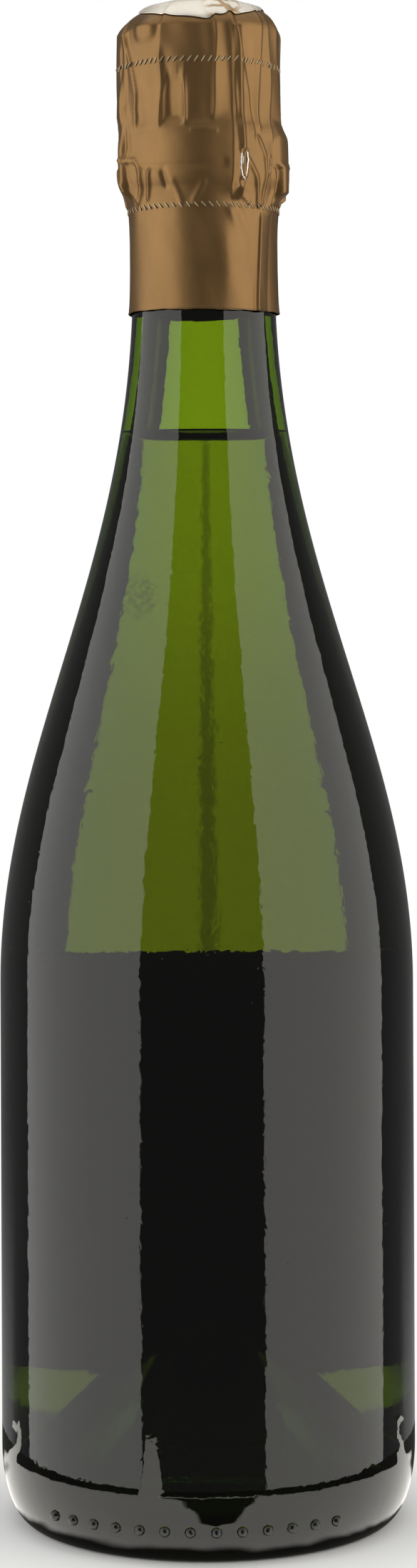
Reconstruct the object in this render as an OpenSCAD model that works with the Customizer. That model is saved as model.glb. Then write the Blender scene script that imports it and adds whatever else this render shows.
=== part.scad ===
// A full and closed sparkling wine bottle with its cork, wire cage, foil and blank label.
// Sizes are in millimetres. The origin is the centre of the base, and +Z is up.
// The near side, seen first, faces -Y, and the label is on the far side, +Y.

/* [Glass body] */
// Diameter of the body
body_d = 88.6; // [80:0.1:100]
// Height of the glass from the table to the lip
glass_h = 300; // [285:1:325]
// Height of the rounded heel
heel_h = 16; // [10:0.5:22]
// How far the bearing ring lies inside the body
heel_inset = 6.3; // [3:0.1:9]
// Height at which the shoulder starts
shoulder_start = 114; // [100:1:130]
// Thickness of the body wall
wall_t = 5.4; // [3:0.1:7]
// Thickness of the base at the bearing ring
base_t = 9.5; // [6:0.5:12]

/* [Punt] */
// Width of the flat ring that the bottle stands on
bearing_w = 5; // [2:0.5:9]
// Depth of the hollow under the base
punt_h = 35; // [20:1:45]

/* [Heel dots] */
// Height of the row of raised dots
dot_z = 7.2; // [4:0.1:10]
// Diameter of a raised dot
dot_d = 1.8; // [1:0.1:2.6]
// Distance between two dots, along the heel
dot_pitch = 4.65; // [3:0.05:7]
// Number of dots, in a plain row
dot_count = 13; // [1:1:24]

/* [Neck] */
// Diameter of the neck under the collar
neck_d = 30.6; // [28:0.1:34]
// Distance from the lip down to the end of the shoulder curve
neck_len = 34; // [28:1:44]
// Thickness of the neck's wall below the cork
neck_wall_t = 5.4; // [4:0.1:6.5]
// Diameter of the bore that holds the cork
bore_d = 17.5; // [16:0.1:19]

/* [Collar and lip] */
// How far the collar ring stands out from the neck
collar_rise = 2; // [1.5:0.1:3]
// Height of the collar ring
collar_h = 6.6; // [4:0.1:9]
// Height of the sloping shoulder under the collar ring
collar_slope_h = 1.2; // [0.6:0.1:2]
// Thickness of the glass at the lip bead
lip_t = 5.55; // [4.5:0.05:6.5]
// Height of the lip bead
lip_h = 6.2; // [4:0.1:7]
// Depth of the groove between the lip and the collar
groove_t = 1; // [0.5:0.1:2]
// Height of the groove
groove_h = 2.2; // [1.4:0.1:4]
// Radius on the edges of the lip and the collar
edge_r = 1.1; // [0.5:0.1:1.5]

/* [Wine] */
// Distance from the lip down to the wine
fill_drop = 68.4; // [55:0.5:90]

/* [Label] */
// Height of the label's lower edge
label_z = 25.7; // [18:0.1:35]
// Height of the label
label_h = 91; // [50:1:92]
// Width of the label, round the bottle
label_w = 112; // [60:1:200]
// Thickness of the label paper
label_t = 0.13; // [0.08:0.01:0.3]

/* [Cork] */
// Length of the cork inside the neck
cork_in = 24; // [18:0.5:28]
// Height of the cork's head above the lip
head_h = 21.3; // [17:0.1:26]
// Diameter of the cork's head
head_d = 28.6; // [26:0.1:30]
// How far the head's foot, on the lip, lies inside the head
head_foot_inset = 1.1; // [0.5:0.1:2]
// Radius of the head's upper edge
head_edge_r = 4.5; // [3:0.1:6]
// Thickness of each natural cork disc
disc_t = 6; // [4:0.1:7]

/* [Cage] */
// Thickness of the metal cap
plaque_t = 0.3; // [0.2:0.05:0.5]
// Distance from the raised middle of the cap to the edge of its flat
plaque_flat_w = 2.6; // [2:0.1:4]
// Height of the raised middle of the cap
plaque_boss_h = 1.2; // [0.6:0.1:1.6]
// Diameter of the wire of the cage
wire_d = 0.8; // [0.6:0.05:1]
// Diameter of the wire of the belt and its loop
belt_wire_d = 1; // [0.7:0.05:1.2]
// Distance from the raised middle of the cap to the cage's top ring
top_ring_gap = 1.6; // [0.5:0.1:1.9]
// Length of one turn of a leg's twist
twist_pitch = 12; // [8:0.5:20]
// Direction of the first leg, from +X
leg_turn = -65; // [-90:1:0]
// Height of the twisted stem of the loop
loop_stem_h = 5.2; // [4:0.1:6.5]
// Diameter of the loop's eye, at the middle of its wire
loop_eye_d = 5.8; // [4.5:0.1:6.5]

/* [Foil] */
// Thickness of the foil
foil_t = 0.15; // [0.08:0.01:0.25]
// Height of the lower sleeve, under the lower row of perforations
sleeve_h = 22; // [15:0.5:40]
// Distance from the lip up to the upper row of perforations
upper_row_rise = 9; // [6:0.1:12]
// Distance from the belt down to the lower row of perforations
lower_row_gap = 3.2; // [2.5:0.1:6]
// Height of the foil's top over the cage
foil_crown_h = 2; // [1.9:0.1:4]
// How far the foil's top disc reaches past the flat top of the cork
foil_disc_reach = 2.8; // [2:0.1:3.4]
// How far the crown's edge is tucked in under the disc
foil_tuck_w = 2; // [1:0.1:3]
// Number of pleats
pleat_count = 26; // [12:1:30]
// Depth of the pleats at the head
pleat_depth = 0.75; // [0.3:0.05:1.1]

/* [Clearances] */
// Gap between pieces that lie on each other
seat_gap = 0.05; // [0.02:0.01:0.1]
// Gap between the cork and its bore
cork_gap = 0.05; // [0.02:0.01:0.1]
// Gap between the wire and what it runs along
wire_gap = 0.1; // [0.05:0.01:0.2]
// Gap between the foil and what it covers
foil_gap = 0.2; // [0.1:0.05:0.3]
// Gap between the wine and the glass
wine_gap = 0.1; // [0.05:0.01:0.3]

/* [Hidden] */
$fn = 96;

// Radii and heights that follow from the sizes above
body_r = body_d / 2;
bearing_r = body_r - heel_inset;
neck_r = neck_d / 2;
neck_bore_r = neck_r - neck_wall_t;
punt_r = bearing_r - bearing_w;
bore_r = bore_d / 2;
lip_r = bore_r + lip_t;
groove_r = lip_r - groove_t;
collar_r = neck_r + collar_rise;
collar_drop = lip_h + groove_h;
shoulder_end = glass_h - neck_len;
collar_top = glass_h - collar_drop;
collar_low = collar_top - collar_h;
collar_root = collar_low - collar_slope_h;
fill_z = glass_h - fill_drop;

// Where the curves of the shoulder, base and punt reach, as shares of their own span
shoulder_low_share = 0.342;
shoulder_high_share = 0.421;
punt_side_share = 0.72;
punt_side_h_share = 0.42;
punt_top_share = 0.42;
trough_r_share = 0.79;
trough_wall_share = 0.84;
trough_slope_share = 0.66;
trough_rise_share = 0.3;
base_side_h = 12;
bore_taper_h = 5;
bore_seat_h = cork_in + disc_t / 2;

// Direction of the first dot, from +X
dot_first_turn = -137;
dot_sink_share = 0.3;

head_r = head_d / 2;
head_top = glass_h + seat_gap + head_h;
head_edge_z = head_top - head_edge_r;
head_flat_r = head_r - head_edge_r;
head_bulge_share = 0.22;
shank_r = bore_r - cork_gap;
cork_bottom = glass_h - cork_in;
shank_edge_r = 0.8;

wire_r = wire_d / 2;
pair_r = wire_d;
belt_wire_r = belt_wire_d / 2;
belt_r = neck_r + wire_gap + belt_wire_r;
belt_z = collar_root - belt_wire_r - wire_gap;
plaque_wrap = 46;
plaque_boss_r = head_flat_r - plaque_flat_w;
plaque_boss_edge = 1.2;
top_ring_r = plaque_boss_r + top_ring_gap + wire_r;
plaque_low = head_top + seat_gap;
plaque_top = plaque_low + plaque_t;
top_ring_z = plaque_top + seat_gap + wire_r;
leg_bend_r = top_ring_z - head_edge_z;
leg_side_r = max(head_r, lip_r) + wire_gap + pair_r;
leg_collar_r = collar_r + wire_gap + pair_r;
leg_count = 4;
leg_rings = 56;
leg_sides = 6;
wire_round_share = 0.92;
loop_turn = leg_turn + 45;
loop_knuckle_w = 2 * pair_r + belt_wire_r;
loop_eye_z = belt_z + loop_stem_h + loop_eye_d / 2;

foil_sides = 120;
foil_step = 360 / foil_sides;
foil_top = top_ring_z + wire_r + foil_crown_h;
foil_disc_r = head_flat_r + foil_disc_reach;
foil_disc_drop = 2;
upper_row_z = glass_h + upper_row_rise;
lower_row_z = belt_z - lower_row_gap;
foil_low = lower_row_z - sleeve_h;
foil_head_r = leg_side_r + pair_r + 2 * foil_gap + foil_t;
foil_collar_r = collar_r + foil_gap + foil_t;
foil_belt_r = belt_r + belt_wire_r + foil_gap + foil_t;
foil_cut = foil_t / 2;
foil_lifted_r = leg_collar_r + pair_r + foil_gap + foil_t;

// Smooth curve between two points, drawn in by two more
function curve(p0, p1, p2, p3, steps) = [
    for (i = [0 : steps])
        let (t = i / steps, s = 1 - t)
        s * s * s * p0 + 3 * s * s * t * p1 + 3 * s * t * t * p2 + t * t * t * p3
];

// Points of an arc round a centre, from one angle to another
function arc(centre, r, from, to, steps) = [
    for (i = [0 : steps])
        let (a = from + (to - from) * i / steps)
        centre + r * [cos(a), sin(a)]
];

// Smooth path through all the given points
function through(points, steps) = [
    for (i = [0 : len(points) - 2])
        let (
            p0 = points[max(i - 1, 0)],
            p1 = points[i],
            p2 = points[i + 1],
            p3 = points[min(i + 2, len(points) - 1)]
        )
        for (k = [0 : (i == len(points) - 2 ? steps : steps - 1)])
            let (t = k / steps)
            (2 * p1 + (p2 - p0) * t + (2 * p0 - 5 * p1 + 4 * p2 - p3) * t * t
                + (3 * p1 - p0 - 3 * p2 + p3) * t * t * t) / 2
];

// Direction of a path at one of its points
function heading(path, i) =
    let (
        a = path[max(i - 1, 0)],
        b = path[min(i + 1, len(path) - 1)]
    )
    (b - a) / norm(b - a);

// The path moved sideways, to its left
function beside(path, distance) = [
    for (i = [0 : len(path) - 1])
        let (d = heading(path, i))
        path[i] + distance * [-d[1], d[0]]
];

// How far along a path each of its points lies
function lengths(path) = [
    for (i = 0, s = 0; i < len(path); s = s + norm(path[min(i + 1, len(path) - 1)] - path[i]), i = i + 1) s
];

// The same path with evenly spaced points
function evenly(path, steps) =
    let (
        s = lengths(path),
        x = [for (i = [0 : len(path) - 1]) [s[i], path[i][0]]],
        y = [for (i = [0 : len(path) - 1]) [s[i], path[i][1]]],
        run = s[len(path) - 1]
    )
    [for (i = [0 : steps]) [lookup(run * i / steps, x), lookup(run * i / steps, y)]];

function reversed(path) = [for (i = [len(path) - 1 : -1 : 0]) path[i]];

// 0 below the first value, 1 above the second, and smooth between them
function ease(x, from, to) =
    let (t = min(max((x - from) / (to - from), 0), 1))
    t * t * (3 - 2 * t);

// Faces of a closed tube of rings of points
function tube_faces(rings, sides) = concat(
    [[for (j = [0 : sides - 1]) j]],
    [
        for (i = [0 : rings - 2])
            for (j = [0 : sides - 1])
                let (a = i * sides + j, b = i * sides + (j + 1) % sides)
                each [[a, a + sides, b], [b, a + sides, b + sides]]
    ],
    [[for (j = [sides - 1 : -1 : 0]) (rings - 1) * sides + j]]
);

// Faces of a closed band: its outer rings of points come first, then its inner rings
function band_faces(rings, sides) = concat(
    [
        for (i = [0 : rings - 2])
            for (j = [0 : sides - 1])
                let (a = i * sides + j, b = i * sides + (j + 1) % sides)
                each [[a, a + sides, b], [b, a + sides, b + sides]]
    ],
    [
        for (i = [0 : rings - 2])
            for (j = [0 : sides - 1])
                let (
                    a = (rings + i) * sides + j,
                    b = (rings + i) * sides + (j + 1) % sides
                )
                each [[a, b, a + sides], [b, b + sides, a + sides]]
    ],
    [
        for (j = [0 : sides - 1])
            let (
                k = (j + 1) % sides,
                last = (rings - 1) * sides,
                inner = rings * sides
            )
            each [
                [j, k, inner + j],
                [k, inner + k, inner + j],
                [last + j, last + inner + j, last + k],
                [last + k, last + inner + j, last + inner + k]
            ]
    ]
);

// Outside of the glass, from the bearing ring up to the lip
heel_path = [
    for (i = [1 : 9])
        let (a = 90 * i / 9)
        [bearing_r + heel_inset * sin(a), heel_h * (1 - cos(a))]
];
shoulder_h = shoulder_end - shoulder_start;
shoulder_path = curve(
    [body_r, shoulder_start],
    [body_r, shoulder_start + shoulder_h * shoulder_low_share],
    [neck_r, shoulder_end - shoulder_h * shoulder_high_share],
    [neck_r, shoulder_end],
    28
);

// Outer radius of the glass at a height on the shoulder or the neck
function glass_r(z) = lookup(z, [for (p = shoulder_path) [p[1], p[0]]]);

collar_path = concat(
    [[neck_r, collar_root]],
    arc([collar_r - edge_r, collar_low + edge_r], edge_r, -60, 0, 3),
    arc([collar_r - edge_r, collar_top - edge_r], edge_r, 0, 75, 4),
    [[groove_r, collar_top + groove_h / 4]]
);
lip_path = concat(
    [[groove_r, collar_top + groove_h * 3 / 4]],
    arc([lip_r - edge_r, glass_h - lip_h + edge_r], edge_r, -30, 0, 2),
    arc([lip_r - edge_r, glass_h - edge_r], edge_r, 0, 90, 5)
);

// Inside of the glass, from the mouth down to the top of the punt
bore_path = [
    [bore_r, glass_h],
    [bore_r, glass_h - bore_seat_h],
    [neck_bore_r, glass_h - bore_seat_h - bore_taper_h]
];
inner_shoulder_path = curve(
    [neck_bore_r, shoulder_end],
    [neck_bore_r, shoulder_end - shoulder_h * shoulder_high_share],
    [body_r - wall_t, shoulder_start + shoulder_h * shoulder_low_share],
    [body_r - wall_t, shoulder_start],
    28
);
inner_r = body_r - wall_t;
trough_r = body_r * trough_r_share;
base_path = curve(
    [inner_r, base_t + base_side_h],
    [inner_r, base_t + base_side_h * trough_rise_share],
    [body_r * trough_wall_share, base_t],
    [trough_r, base_t],
    8
);
punt_top_in = punt_h + base_t;
punt_inside_path = curve(
    [trough_r, base_t],
    [body_r * trough_slope_share, base_t],
    [punt_r * punt_top_share, punt_top_in],
    [0, punt_top_in],
    16
);
punt_path = curve(
    [0, punt_h],
    [punt_r * punt_top_share, punt_h],
    [punt_r * punt_side_share, punt_h * punt_side_h_share],
    [punt_r, 0],
    16
);

// The path without its first point, where two paths meet
function tail(path) = [for (i = [1 : len(path) - 1]) path[i]];

// Inside surface of the glass below the cork's seat, from the neck down to the punt's top
cavity_path = concat(
    [bore_path[2]],
    [for (p = inner_shoulder_path) if (p[1] < bore_path[2][1]) p],
    base_path,
    tail(punt_inside_path)
);

module glass_bottle() {
    color([0.2, 0.3, 0.1, 0.6]) {
        rotate_extrude()
            polygon(concat(
                [[bearing_r, 0]],
                heel_path,
                shoulder_path,
                collar_path,
                lip_path,
                [bore_path[0], bore_path[1]],
                cavity_path,
                punt_path
            ));
        for (i = [0 : dot_count - 1])
            heel_dot(dot_first_turn + i * dot_pitch / bearing_r * 180 / PI);
    }
}

// One raised dot on the heel, facing the given direction
module heel_dot(turn) {
    rise = 1 - dot_z / heel_h;
    r = bearing_r + heel_inset * sqrt(1 - rise * rise);
    rotate(turn)
        translate([r - dot_d * dot_sink_share, 0, dot_z])
            sphere(d = dot_d);
}

module wine() {
    wall = [for (p = reversed(cavity_path)) if (p[1] >= shoulder_start) [p[1], p[0]]];
    fill_r = lookup(fill_z, wall);
    wetted = beside([for (p = cavity_path) if (p[1] < fill_z - wine_gap) p], -wine_gap);
    color([0.75, 0.7, 0.25, 0.7])
        rotate_extrude()
            polygon(concat(
                [[0, fill_z], [fill_r - wine_gap, fill_z]],
                [for (i = [0 : len(wetted) - 2]) wetted[i]],
                [[0, punt_top_in + wine_gap]]
            ));
}

module front_label() {
    spread = label_w / body_r * 180 / PI;
    color([0.93, 0.91, 0.85])
        rotate(90 - spread / 2)
            rotate_extrude(angle = spread)
                translate([body_r + seat_gap, label_z])
                    square([label_t, label_h]);
}

module foil_sleeve() {
    cover = 2 * foil_gap + foil_t;
    profile = [[0, 3], [1 / 6, 1.5], [1 / 3, 0], [2 / 3, 0], [7 / 8, 1.5]];
    outer = through(concat(
        [
            for (row = profile)
                let (z = foil_low + row[0] * sleeve_h)
                [glass_r(z) + cover + row[1] * foil_t, z]
        ],
        [[foil_belt_r - foil_gap, lower_row_z - foil_cut]]
    ), 4);
    color([0.66, 0.52, 0.32])
        rotate_extrude()
            polygon(concat(outer, reversed([for (p = outer) [p[0] - foil_t, p[1]]])));
}

module cork_body() {
    foot_z = glass_h + seat_gap;
    bulge_h = head_h * head_bulge_share;
    color([0.8, 0.62, 0.42])
        rotate_extrude()
            polygon(concat(
                [[0, cork_bottom + 2 * disc_t], [shank_r, cork_bottom + 2 * disc_t]],
                [[shank_r, foot_z]],
                curve(
                    [head_r - head_foot_inset, foot_z],
                    [head_r, foot_z + bulge_h / 3],
                    [head_r, foot_z + bulge_h],
                    [head_r, foot_z + bulge_h * 4 / 3],
                    5
                ),
                arc([head_flat_r, head_edge_z], head_edge_r, 0, 90, 8),
                [[0, head_top]]
            ));
}

// A natural cork disc whose lower face is at the given height, with its lower edge rounded
module cork_disc(low, rounding) {
    rotate_extrude()
        polygon(concat(
            [[0, low]],
            arc([shank_r - rounding, low + rounding], rounding, -90, 0, 4),
            [[shank_r, low + disc_t], [0, low + disc_t]]
        ));
}

module cork_disc_upper() {
    color([0.74, 0.54, 0.34])
        cork_disc(cork_bottom + disc_t, seat_gap);
}

module cork_disc_lower() {
    color([0.7, 0.5, 0.3])
        cork_disc(cork_bottom, shank_edge_r);
}

module plaque() {
    under = concat(
        [[0, plaque_low + plaque_boss_h], [plaque_boss_r - plaque_boss_edge, plaque_low + plaque_boss_h]],
        [[plaque_boss_r, plaque_low]],
        arc([head_flat_r, head_edge_z], head_edge_r + seat_gap, 90, 90 - plaque_wrap, 6)
    );
    over = concat(
        [[0, plaque_top + plaque_boss_h], [plaque_boss_r - plaque_boss_edge, plaque_top + plaque_boss_h]],
        [[plaque_boss_r, plaque_top]],
        arc([head_flat_r, head_edge_z], head_edge_r + seat_gap + plaque_t, 90, 90 - plaque_wrap, 6)
    );
    color([0.85, 0.75, 0.5])
        rotate_extrude()
            polygon(concat(over, reversed(under)));
}

// Middle line of a cage leg as radius and height: over the cap, down the head, round the
// collar ring and under the belt
leg_path = evenly(through(concat(
    [[top_ring_r, top_ring_z]],
    arc([head_flat_r, head_edge_z], leg_bend_r, 84, 12, 4),
    [
        [leg_side_r, head_edge_z - head_edge_r],
        [leg_side_r, glass_h],
        [leg_side_r + wire_gap, collar_top + collar_drop / 2],
        [leg_collar_r, collar_top],
        [leg_collar_r, collar_low],
        [belt_r + belt_wire_d + wire_r, belt_z - wire_r],
        [belt_r, belt_z - belt_wire_r - wire_gap - wire_r]
    ]
), 4), leg_rings);

// A twisted pair of wires as one closed tube. Its oval section turns along the path from the
// given length on, and its far end thins out to one wire over the given length.
module twisted_pair(path, twist_from, thin_over) {
    last = len(path) - 1;
    s = lengths(path);
    points = [
        for (i = [0 : last])
            let (
                d = heading(path, i),
                side = [-d[1], d[0]],
                twist = 360 * max(s[i] - twist_from, 0) / twist_pitch,
                flat = wire_r + (pair_r - wire_r) * ease(s[last] - s[i], 0, thin_over)
            )
            for (j = [0 : leg_sides - 1])
                let (
                    a = 360 * j / leg_sides,
                    along = wire_r * wire_round_share * cos(a),
                    across = flat * sin(a),
                    u = along * cos(twist) - across * sin(twist),
                    v = along * sin(twist) + across * cos(twist)
                )
                [path[i][0] + side[0] * u, -v, path[i][1] + side[1] * u]
    ];
    polyhedron(points, tube_faces(len(path), leg_sides));
}

module cage_wire() {
    bend_run = plaque_flat_w + leg_bend_r * 2;
    foot_run = collar_rise + belt_wire_d;
    color([0.75, 0.75, 0.72]) {
        translate([0, 0, top_ring_z])
            rotate_extrude()
                translate([top_ring_r, 0])
                    circle(r = wire_r, $fn = 24);
        for (k = [0 : leg_count - 1])
            rotate(leg_turn + 360 * k / leg_count)
                twisted_pair(leg_path, bend_run, foot_run);
    }
}

// The belt, and the short root on which its twisted ends turn
module belt_wire() {
    root_end = leg_collar_r - belt_wire_r - wire_gap;
    color([0.72, 0.72, 0.7])
        translate([0, 0, belt_z]) {
            rotate_extrude()
                translate([belt_r, 0])
                    circle(r = belt_wire_r, $fn = 24);
            rotate(loop_turn)
                translate([belt_r, 0, 0])
                    rotate([0, 90, 0])
                        cylinder(h = root_end - belt_r, r = belt_wire_r * wire_round_share, $fn = 24);
        }
}

// The twisted stem and its eye, folded up against the collar ring, on a round knuckle
module twist_loop() {
    stem = evenly([
        [leg_collar_r, belt_z],
        [leg_collar_r, loop_eye_z - loop_eye_d / 2]
    ], leg_rings / 4);
    color([0.72, 0.72, 0.7])
        rotate(loop_turn) {
            translate([leg_collar_r, 0, belt_z])
                rotate([90, 0, 0])
                    cylinder(h = loop_knuckle_w, r = belt_wire_r, center = true, $fn = 24);
            twisted_pair(stem, 0, belt_wire_d);
            translate([leg_collar_r, 0, loop_eye_z])
                rotate([0, 90, 0])
                    rotate_extrude()
                        translate([loop_eye_d / 2, 0])
                            circle(r = belt_wire_r, $fn = 24);
        }
}

// Folds of the foil round the neck, from 0 in a valley to 1 on a ridge
function pleat(turn) =
    let (wander = 34 * sin(turn * 3) + 18 * sin(turn * 7 + 40))
    abs(sin(turn * pleat_count / 2 + wander)) * (0.75 + 0.25 * sin(turn * 5 + 70));

// How far the wire underneath lifts the foil, as a share, at an angle from the first leg
function lift(turn, z) =
    let (
        from_leg = abs(((turn + 45) % 90) - 45),
        from_loop = abs(turn - (loop_turn - leg_turn)),
        over_leg = 1 - ease(from_leg, 3, 14),
        over_loop = (1 - ease(from_loop, 12, 20)) * (1 - ease(z, loop_eye_z + loop_eye_d / 2, glass_h)),
        low = ease(z, lower_row_z + foil_gap, belt_z),
        high = 1 - 0.8 * ease(z, collar_top, glass_h),
        crown = 1 - ease(z, head_edge_z, head_top)
    )
    low * crown * max(over_leg * high, over_loop);

// A pleated band of foil. Each row of the profile is a radius, a height and a pleat depth.
module pleated(profile) {
    rows = [
        for (row = profile)
            [
                for (j = [0 : foil_sides - 1])
                    let (
                        turn = j * foil_step,
                        raised = (foil_lifted_r - row[0]) * lift(turn, row[1]),
                        folds = row[2] * pleat(turn)
                    )
                    [row[0] + max(raised, folds) + min(raised, folds) / 3, row[1]]
            ]
    ];
    last = len(profile) - 1;
    outer = [
        for (i = [0 : last])
            for (j = [0 : foil_sides - 1])
                let (a = leg_turn + j * foil_step, p = rows[i][j])
                [p[0] * cos(a), p[0] * sin(a), p[1]]
    ];
    inner = [
        for (i = [0 : last])
            for (j = [0 : foil_sides - 1])
                let (
                    a = leg_turn + j * foil_step,
                    low = rows[max(i - 1, 0)][j],
                    high = rows[min(i + 1, last)][j],
                    d = (high - low) / norm(high - low),
                    p = rows[i][j] + foil_t * [-d[1], d[0]]
                )
                [p[0] * cos(a), p[0] * sin(a), i == 0 ? rows[i][j][1] : p[1]]
    ];
    polyhedron(concat(outer, inner), band_faces(len(profile), foil_sides));
}

// Height of the top disc's upper face at a distance from its middle
function disc_z(r) = foil_top - foil_disc_drop * r * r / (foil_disc_r * foil_disc_r);

module foil_crown_disc() {
    steps = 8;
    over = [for (i = [0 : steps]) let (r = foil_disc_r * i / steps) [r, disc_z(r)]];
    color([0.8, 0.72, 0.58])
        rotate_extrude()
            polygon(concat(over, reversed([for (p = over) [p[0], p[1] - foil_t]])));
}

module foil_crown_sleeve() {
    tuck = foil_t + seat_gap;
    inner_edge = foil_disc_r - foil_tuck_w;
    corner = foil_head_r - head_flat_r;
    color([0.66, 0.52, 0.32])
        pleated([
            [foil_head_r, upper_row_z + foil_cut, pleat_depth],
            [foil_head_r, upper_row_z + (head_edge_z - upper_row_z) / 2, pleat_depth],
            [foil_head_r, head_edge_z - corner / 6, pleat_depth * 0.7],
            [head_flat_r + corner * cos(15), head_edge_z + corner * sin(15) * 0.8, pleat_depth * 0.5],
            [head_flat_r + corner * cos(32), head_edge_z + corner * sin(32) * 0.85, pleat_depth * 0.3],
            [head_flat_r + corner * cos(48), head_edge_z + corner * sin(48) * 0.87, pleat_depth * 0.15],
            [foil_disc_r, disc_z(foil_disc_r) - tuck, 0],
            [inner_edge, disc_z(inner_edge) - tuck, 0]
        ]);
}

module foil_tear_band() {
    color([0.66, 0.52, 0.32])
        pleated([
            [foil_belt_r - foil_gap, lower_row_z + foil_cut, foil_t],
            [foil_belt_r - foil_gap / 2, lower_row_z + (belt_z - lower_row_z) / 3, foil_t],
            [foil_belt_r, lower_row_z + (belt_z - lower_row_z) * 2 / 3, pleat_depth / 3],
            [foil_belt_r + foil_gap, belt_z, pleat_depth / 2],
            [foil_collar_r, collar_low, pleat_depth * 0.8],
            [foil_collar_r, collar_low + collar_h / 2, pleat_depth * 0.8],
            [foil_collar_r, collar_top, pleat_depth * 0.7],
            [(foil_collar_r + foil_head_r) / 2, collar_top + collar_drop / 4, pleat_depth * 0.7],
            [foil_head_r, collar_top + collar_drop / 2, pleat_depth * 0.7],
            [foil_head_r, glass_h - edge_r, pleat_depth],
            [foil_head_r, glass_h + upper_row_rise / 3, pleat_depth],
            [foil_head_r, upper_row_z - foil_cut, pleat_depth]
        ]);
}

glass_bottle();
wine();
front_label();
foil_sleeve();
cork_body();
cork_disc_upper();
cork_disc_lower();
plaque();
cage_wire();
belt_wire();
twist_loop();
foil_crown_disc();
foil_crown_sleeve();
foil_tear_band();
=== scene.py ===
"""Dresses the champagne bottle: glass, wine, label, foil, cork and cage, with a studio round it."""

import functools
import math

import bmesh
import bpy
import numpy as np
from bpy.props import FloatProperty, FloatVectorProperty, IntProperty, PointerProperty
from mathutils import Matrix, Vector


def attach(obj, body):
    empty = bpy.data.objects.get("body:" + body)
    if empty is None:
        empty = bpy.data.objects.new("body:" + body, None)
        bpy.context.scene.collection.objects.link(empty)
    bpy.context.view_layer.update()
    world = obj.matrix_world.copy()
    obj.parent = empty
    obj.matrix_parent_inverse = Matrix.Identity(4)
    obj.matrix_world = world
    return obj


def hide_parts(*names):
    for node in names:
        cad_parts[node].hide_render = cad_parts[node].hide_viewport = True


bl_info = {
    "name": "Champagne Bottle",
    "version": (1, 0, 0),
    "blender": (4, 5, 0),
    "location": "View3D > Sidebar > Bottle",
    "description": "Dresses a champagne bottle with glass, wine, label, foil, cork and cage, and lights it",
    "category": "Object",
}

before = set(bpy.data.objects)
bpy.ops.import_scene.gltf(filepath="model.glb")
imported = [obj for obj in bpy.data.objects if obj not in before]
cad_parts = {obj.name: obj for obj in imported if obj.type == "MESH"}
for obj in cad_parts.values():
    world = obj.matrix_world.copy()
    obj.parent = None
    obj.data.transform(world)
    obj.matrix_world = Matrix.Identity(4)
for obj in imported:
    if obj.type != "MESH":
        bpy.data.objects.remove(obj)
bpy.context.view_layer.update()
MM = 0.001

# Sizes of the solids in millimetres, and directions in degrees. SHOULDER_LOW and SHOULDER_HIGH
# are shares of the shoulder's height. A pair is a radius and a height.
BODY_R = 44.3
BEARING_R = 38.0
PUNT_R = 33.0
PUNT_H = 35.0
HEEL_H = 16.0
SHOULDER_START = 114.0
SHOULDER_END = 266.0
SHOULDER_LOW = 0.342
SHOULDER_HIGH = 0.421
WALL = 5.4
BASE_T = 9.5
NECK_R = 15.3
NECK_BORE_R = 9.9
BORE_R = 8.75
COLLAR_R = 17.3
COLLAR_TOP = 291.6
COLLAR_LOW = 285.0
COLLAR_ROOT = 283.8
GROOVE_R = 13.3
LIP_R = 14.3
LIP_LOW = 293.8
GLASS_H = 300.0
EDGE_R = 1.1
FILL_Z = 231.6
LABEL_Z = 25.7
LABEL_H = 91.0
LABEL_W = 112.0
CORK_LOW = 276.0
CORK_DISC_T = 6.0
HEAD_R = 14.3
HEAD_TOP = 321.35
HEAD_EDGE_Z = 316.85
HEAD_EDGE_R = 4.5
HEAD_FLAT_R = 9.8
PLAQUE_LOW = 321.4
BOSS_R = 7.2
BOSS_H = 1.2
WIRE_R = 0.4
TOP_RING = (9.2, 322.15)
BELT = (15.9, 283.2)
LEG_SIDE_R = 15.2
LEG_COLLAR_R = 18.2
LEG_TURNS = (-65.0, 25.0, 115.0, 205.0)
LOOP_TURN = -20.0
LOOP_EYE_Z = 291.3
LOOP_EYE_R = 2.9
EYE_LINE_R = 17.95
FOIL_T = 0.15
UPPER_ROW = 309.4
LOWER_ROW = 279.3
FOIL_LOW = 257.3
FOIL_TOP = 324.55
DISC_R = 12.6
DISC_DROP = 2.0

# Sizes that only the dressed pieces use, in millimetres and degrees
DOT_Z = 7.2
DOT_PITCH = 4.65
DOT_SUNK = 0.25
FIRST_DOT = -137
LEVEL_DROP = 2.6
WINE_GAP = 0.12
LABEL_GAPS = (0.18, 0.03)
SHANK_R = 8.7
HEAD_LOW = 300.05
BELT_WIRE_R = 0.47
KNUCKLE_HALF = 1.05
CROWN_R = 16.45
CROWN_HOLE_R = 10.7
OVER_WIRE_R = LEG_COLLAR_R + 1.05
DISC_CENTRE = (-0.6, -3.8)
DISC_CENTRE_R = 3.85
DISC_EDGE_R = 13.2

# Length along the foil of one degree, in millimetres, at the folds, the creases and the cuts
FOLD_ARC = 0.3
CREASE_ARC = 0.31
CUT_ARC = 0.29
# Height above which the folds lean
LEAN_FROM = 303

# Directions round the foil, two to a degree
ROUND = np.linspace(0, 360, 720, endpoint=False)

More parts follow.
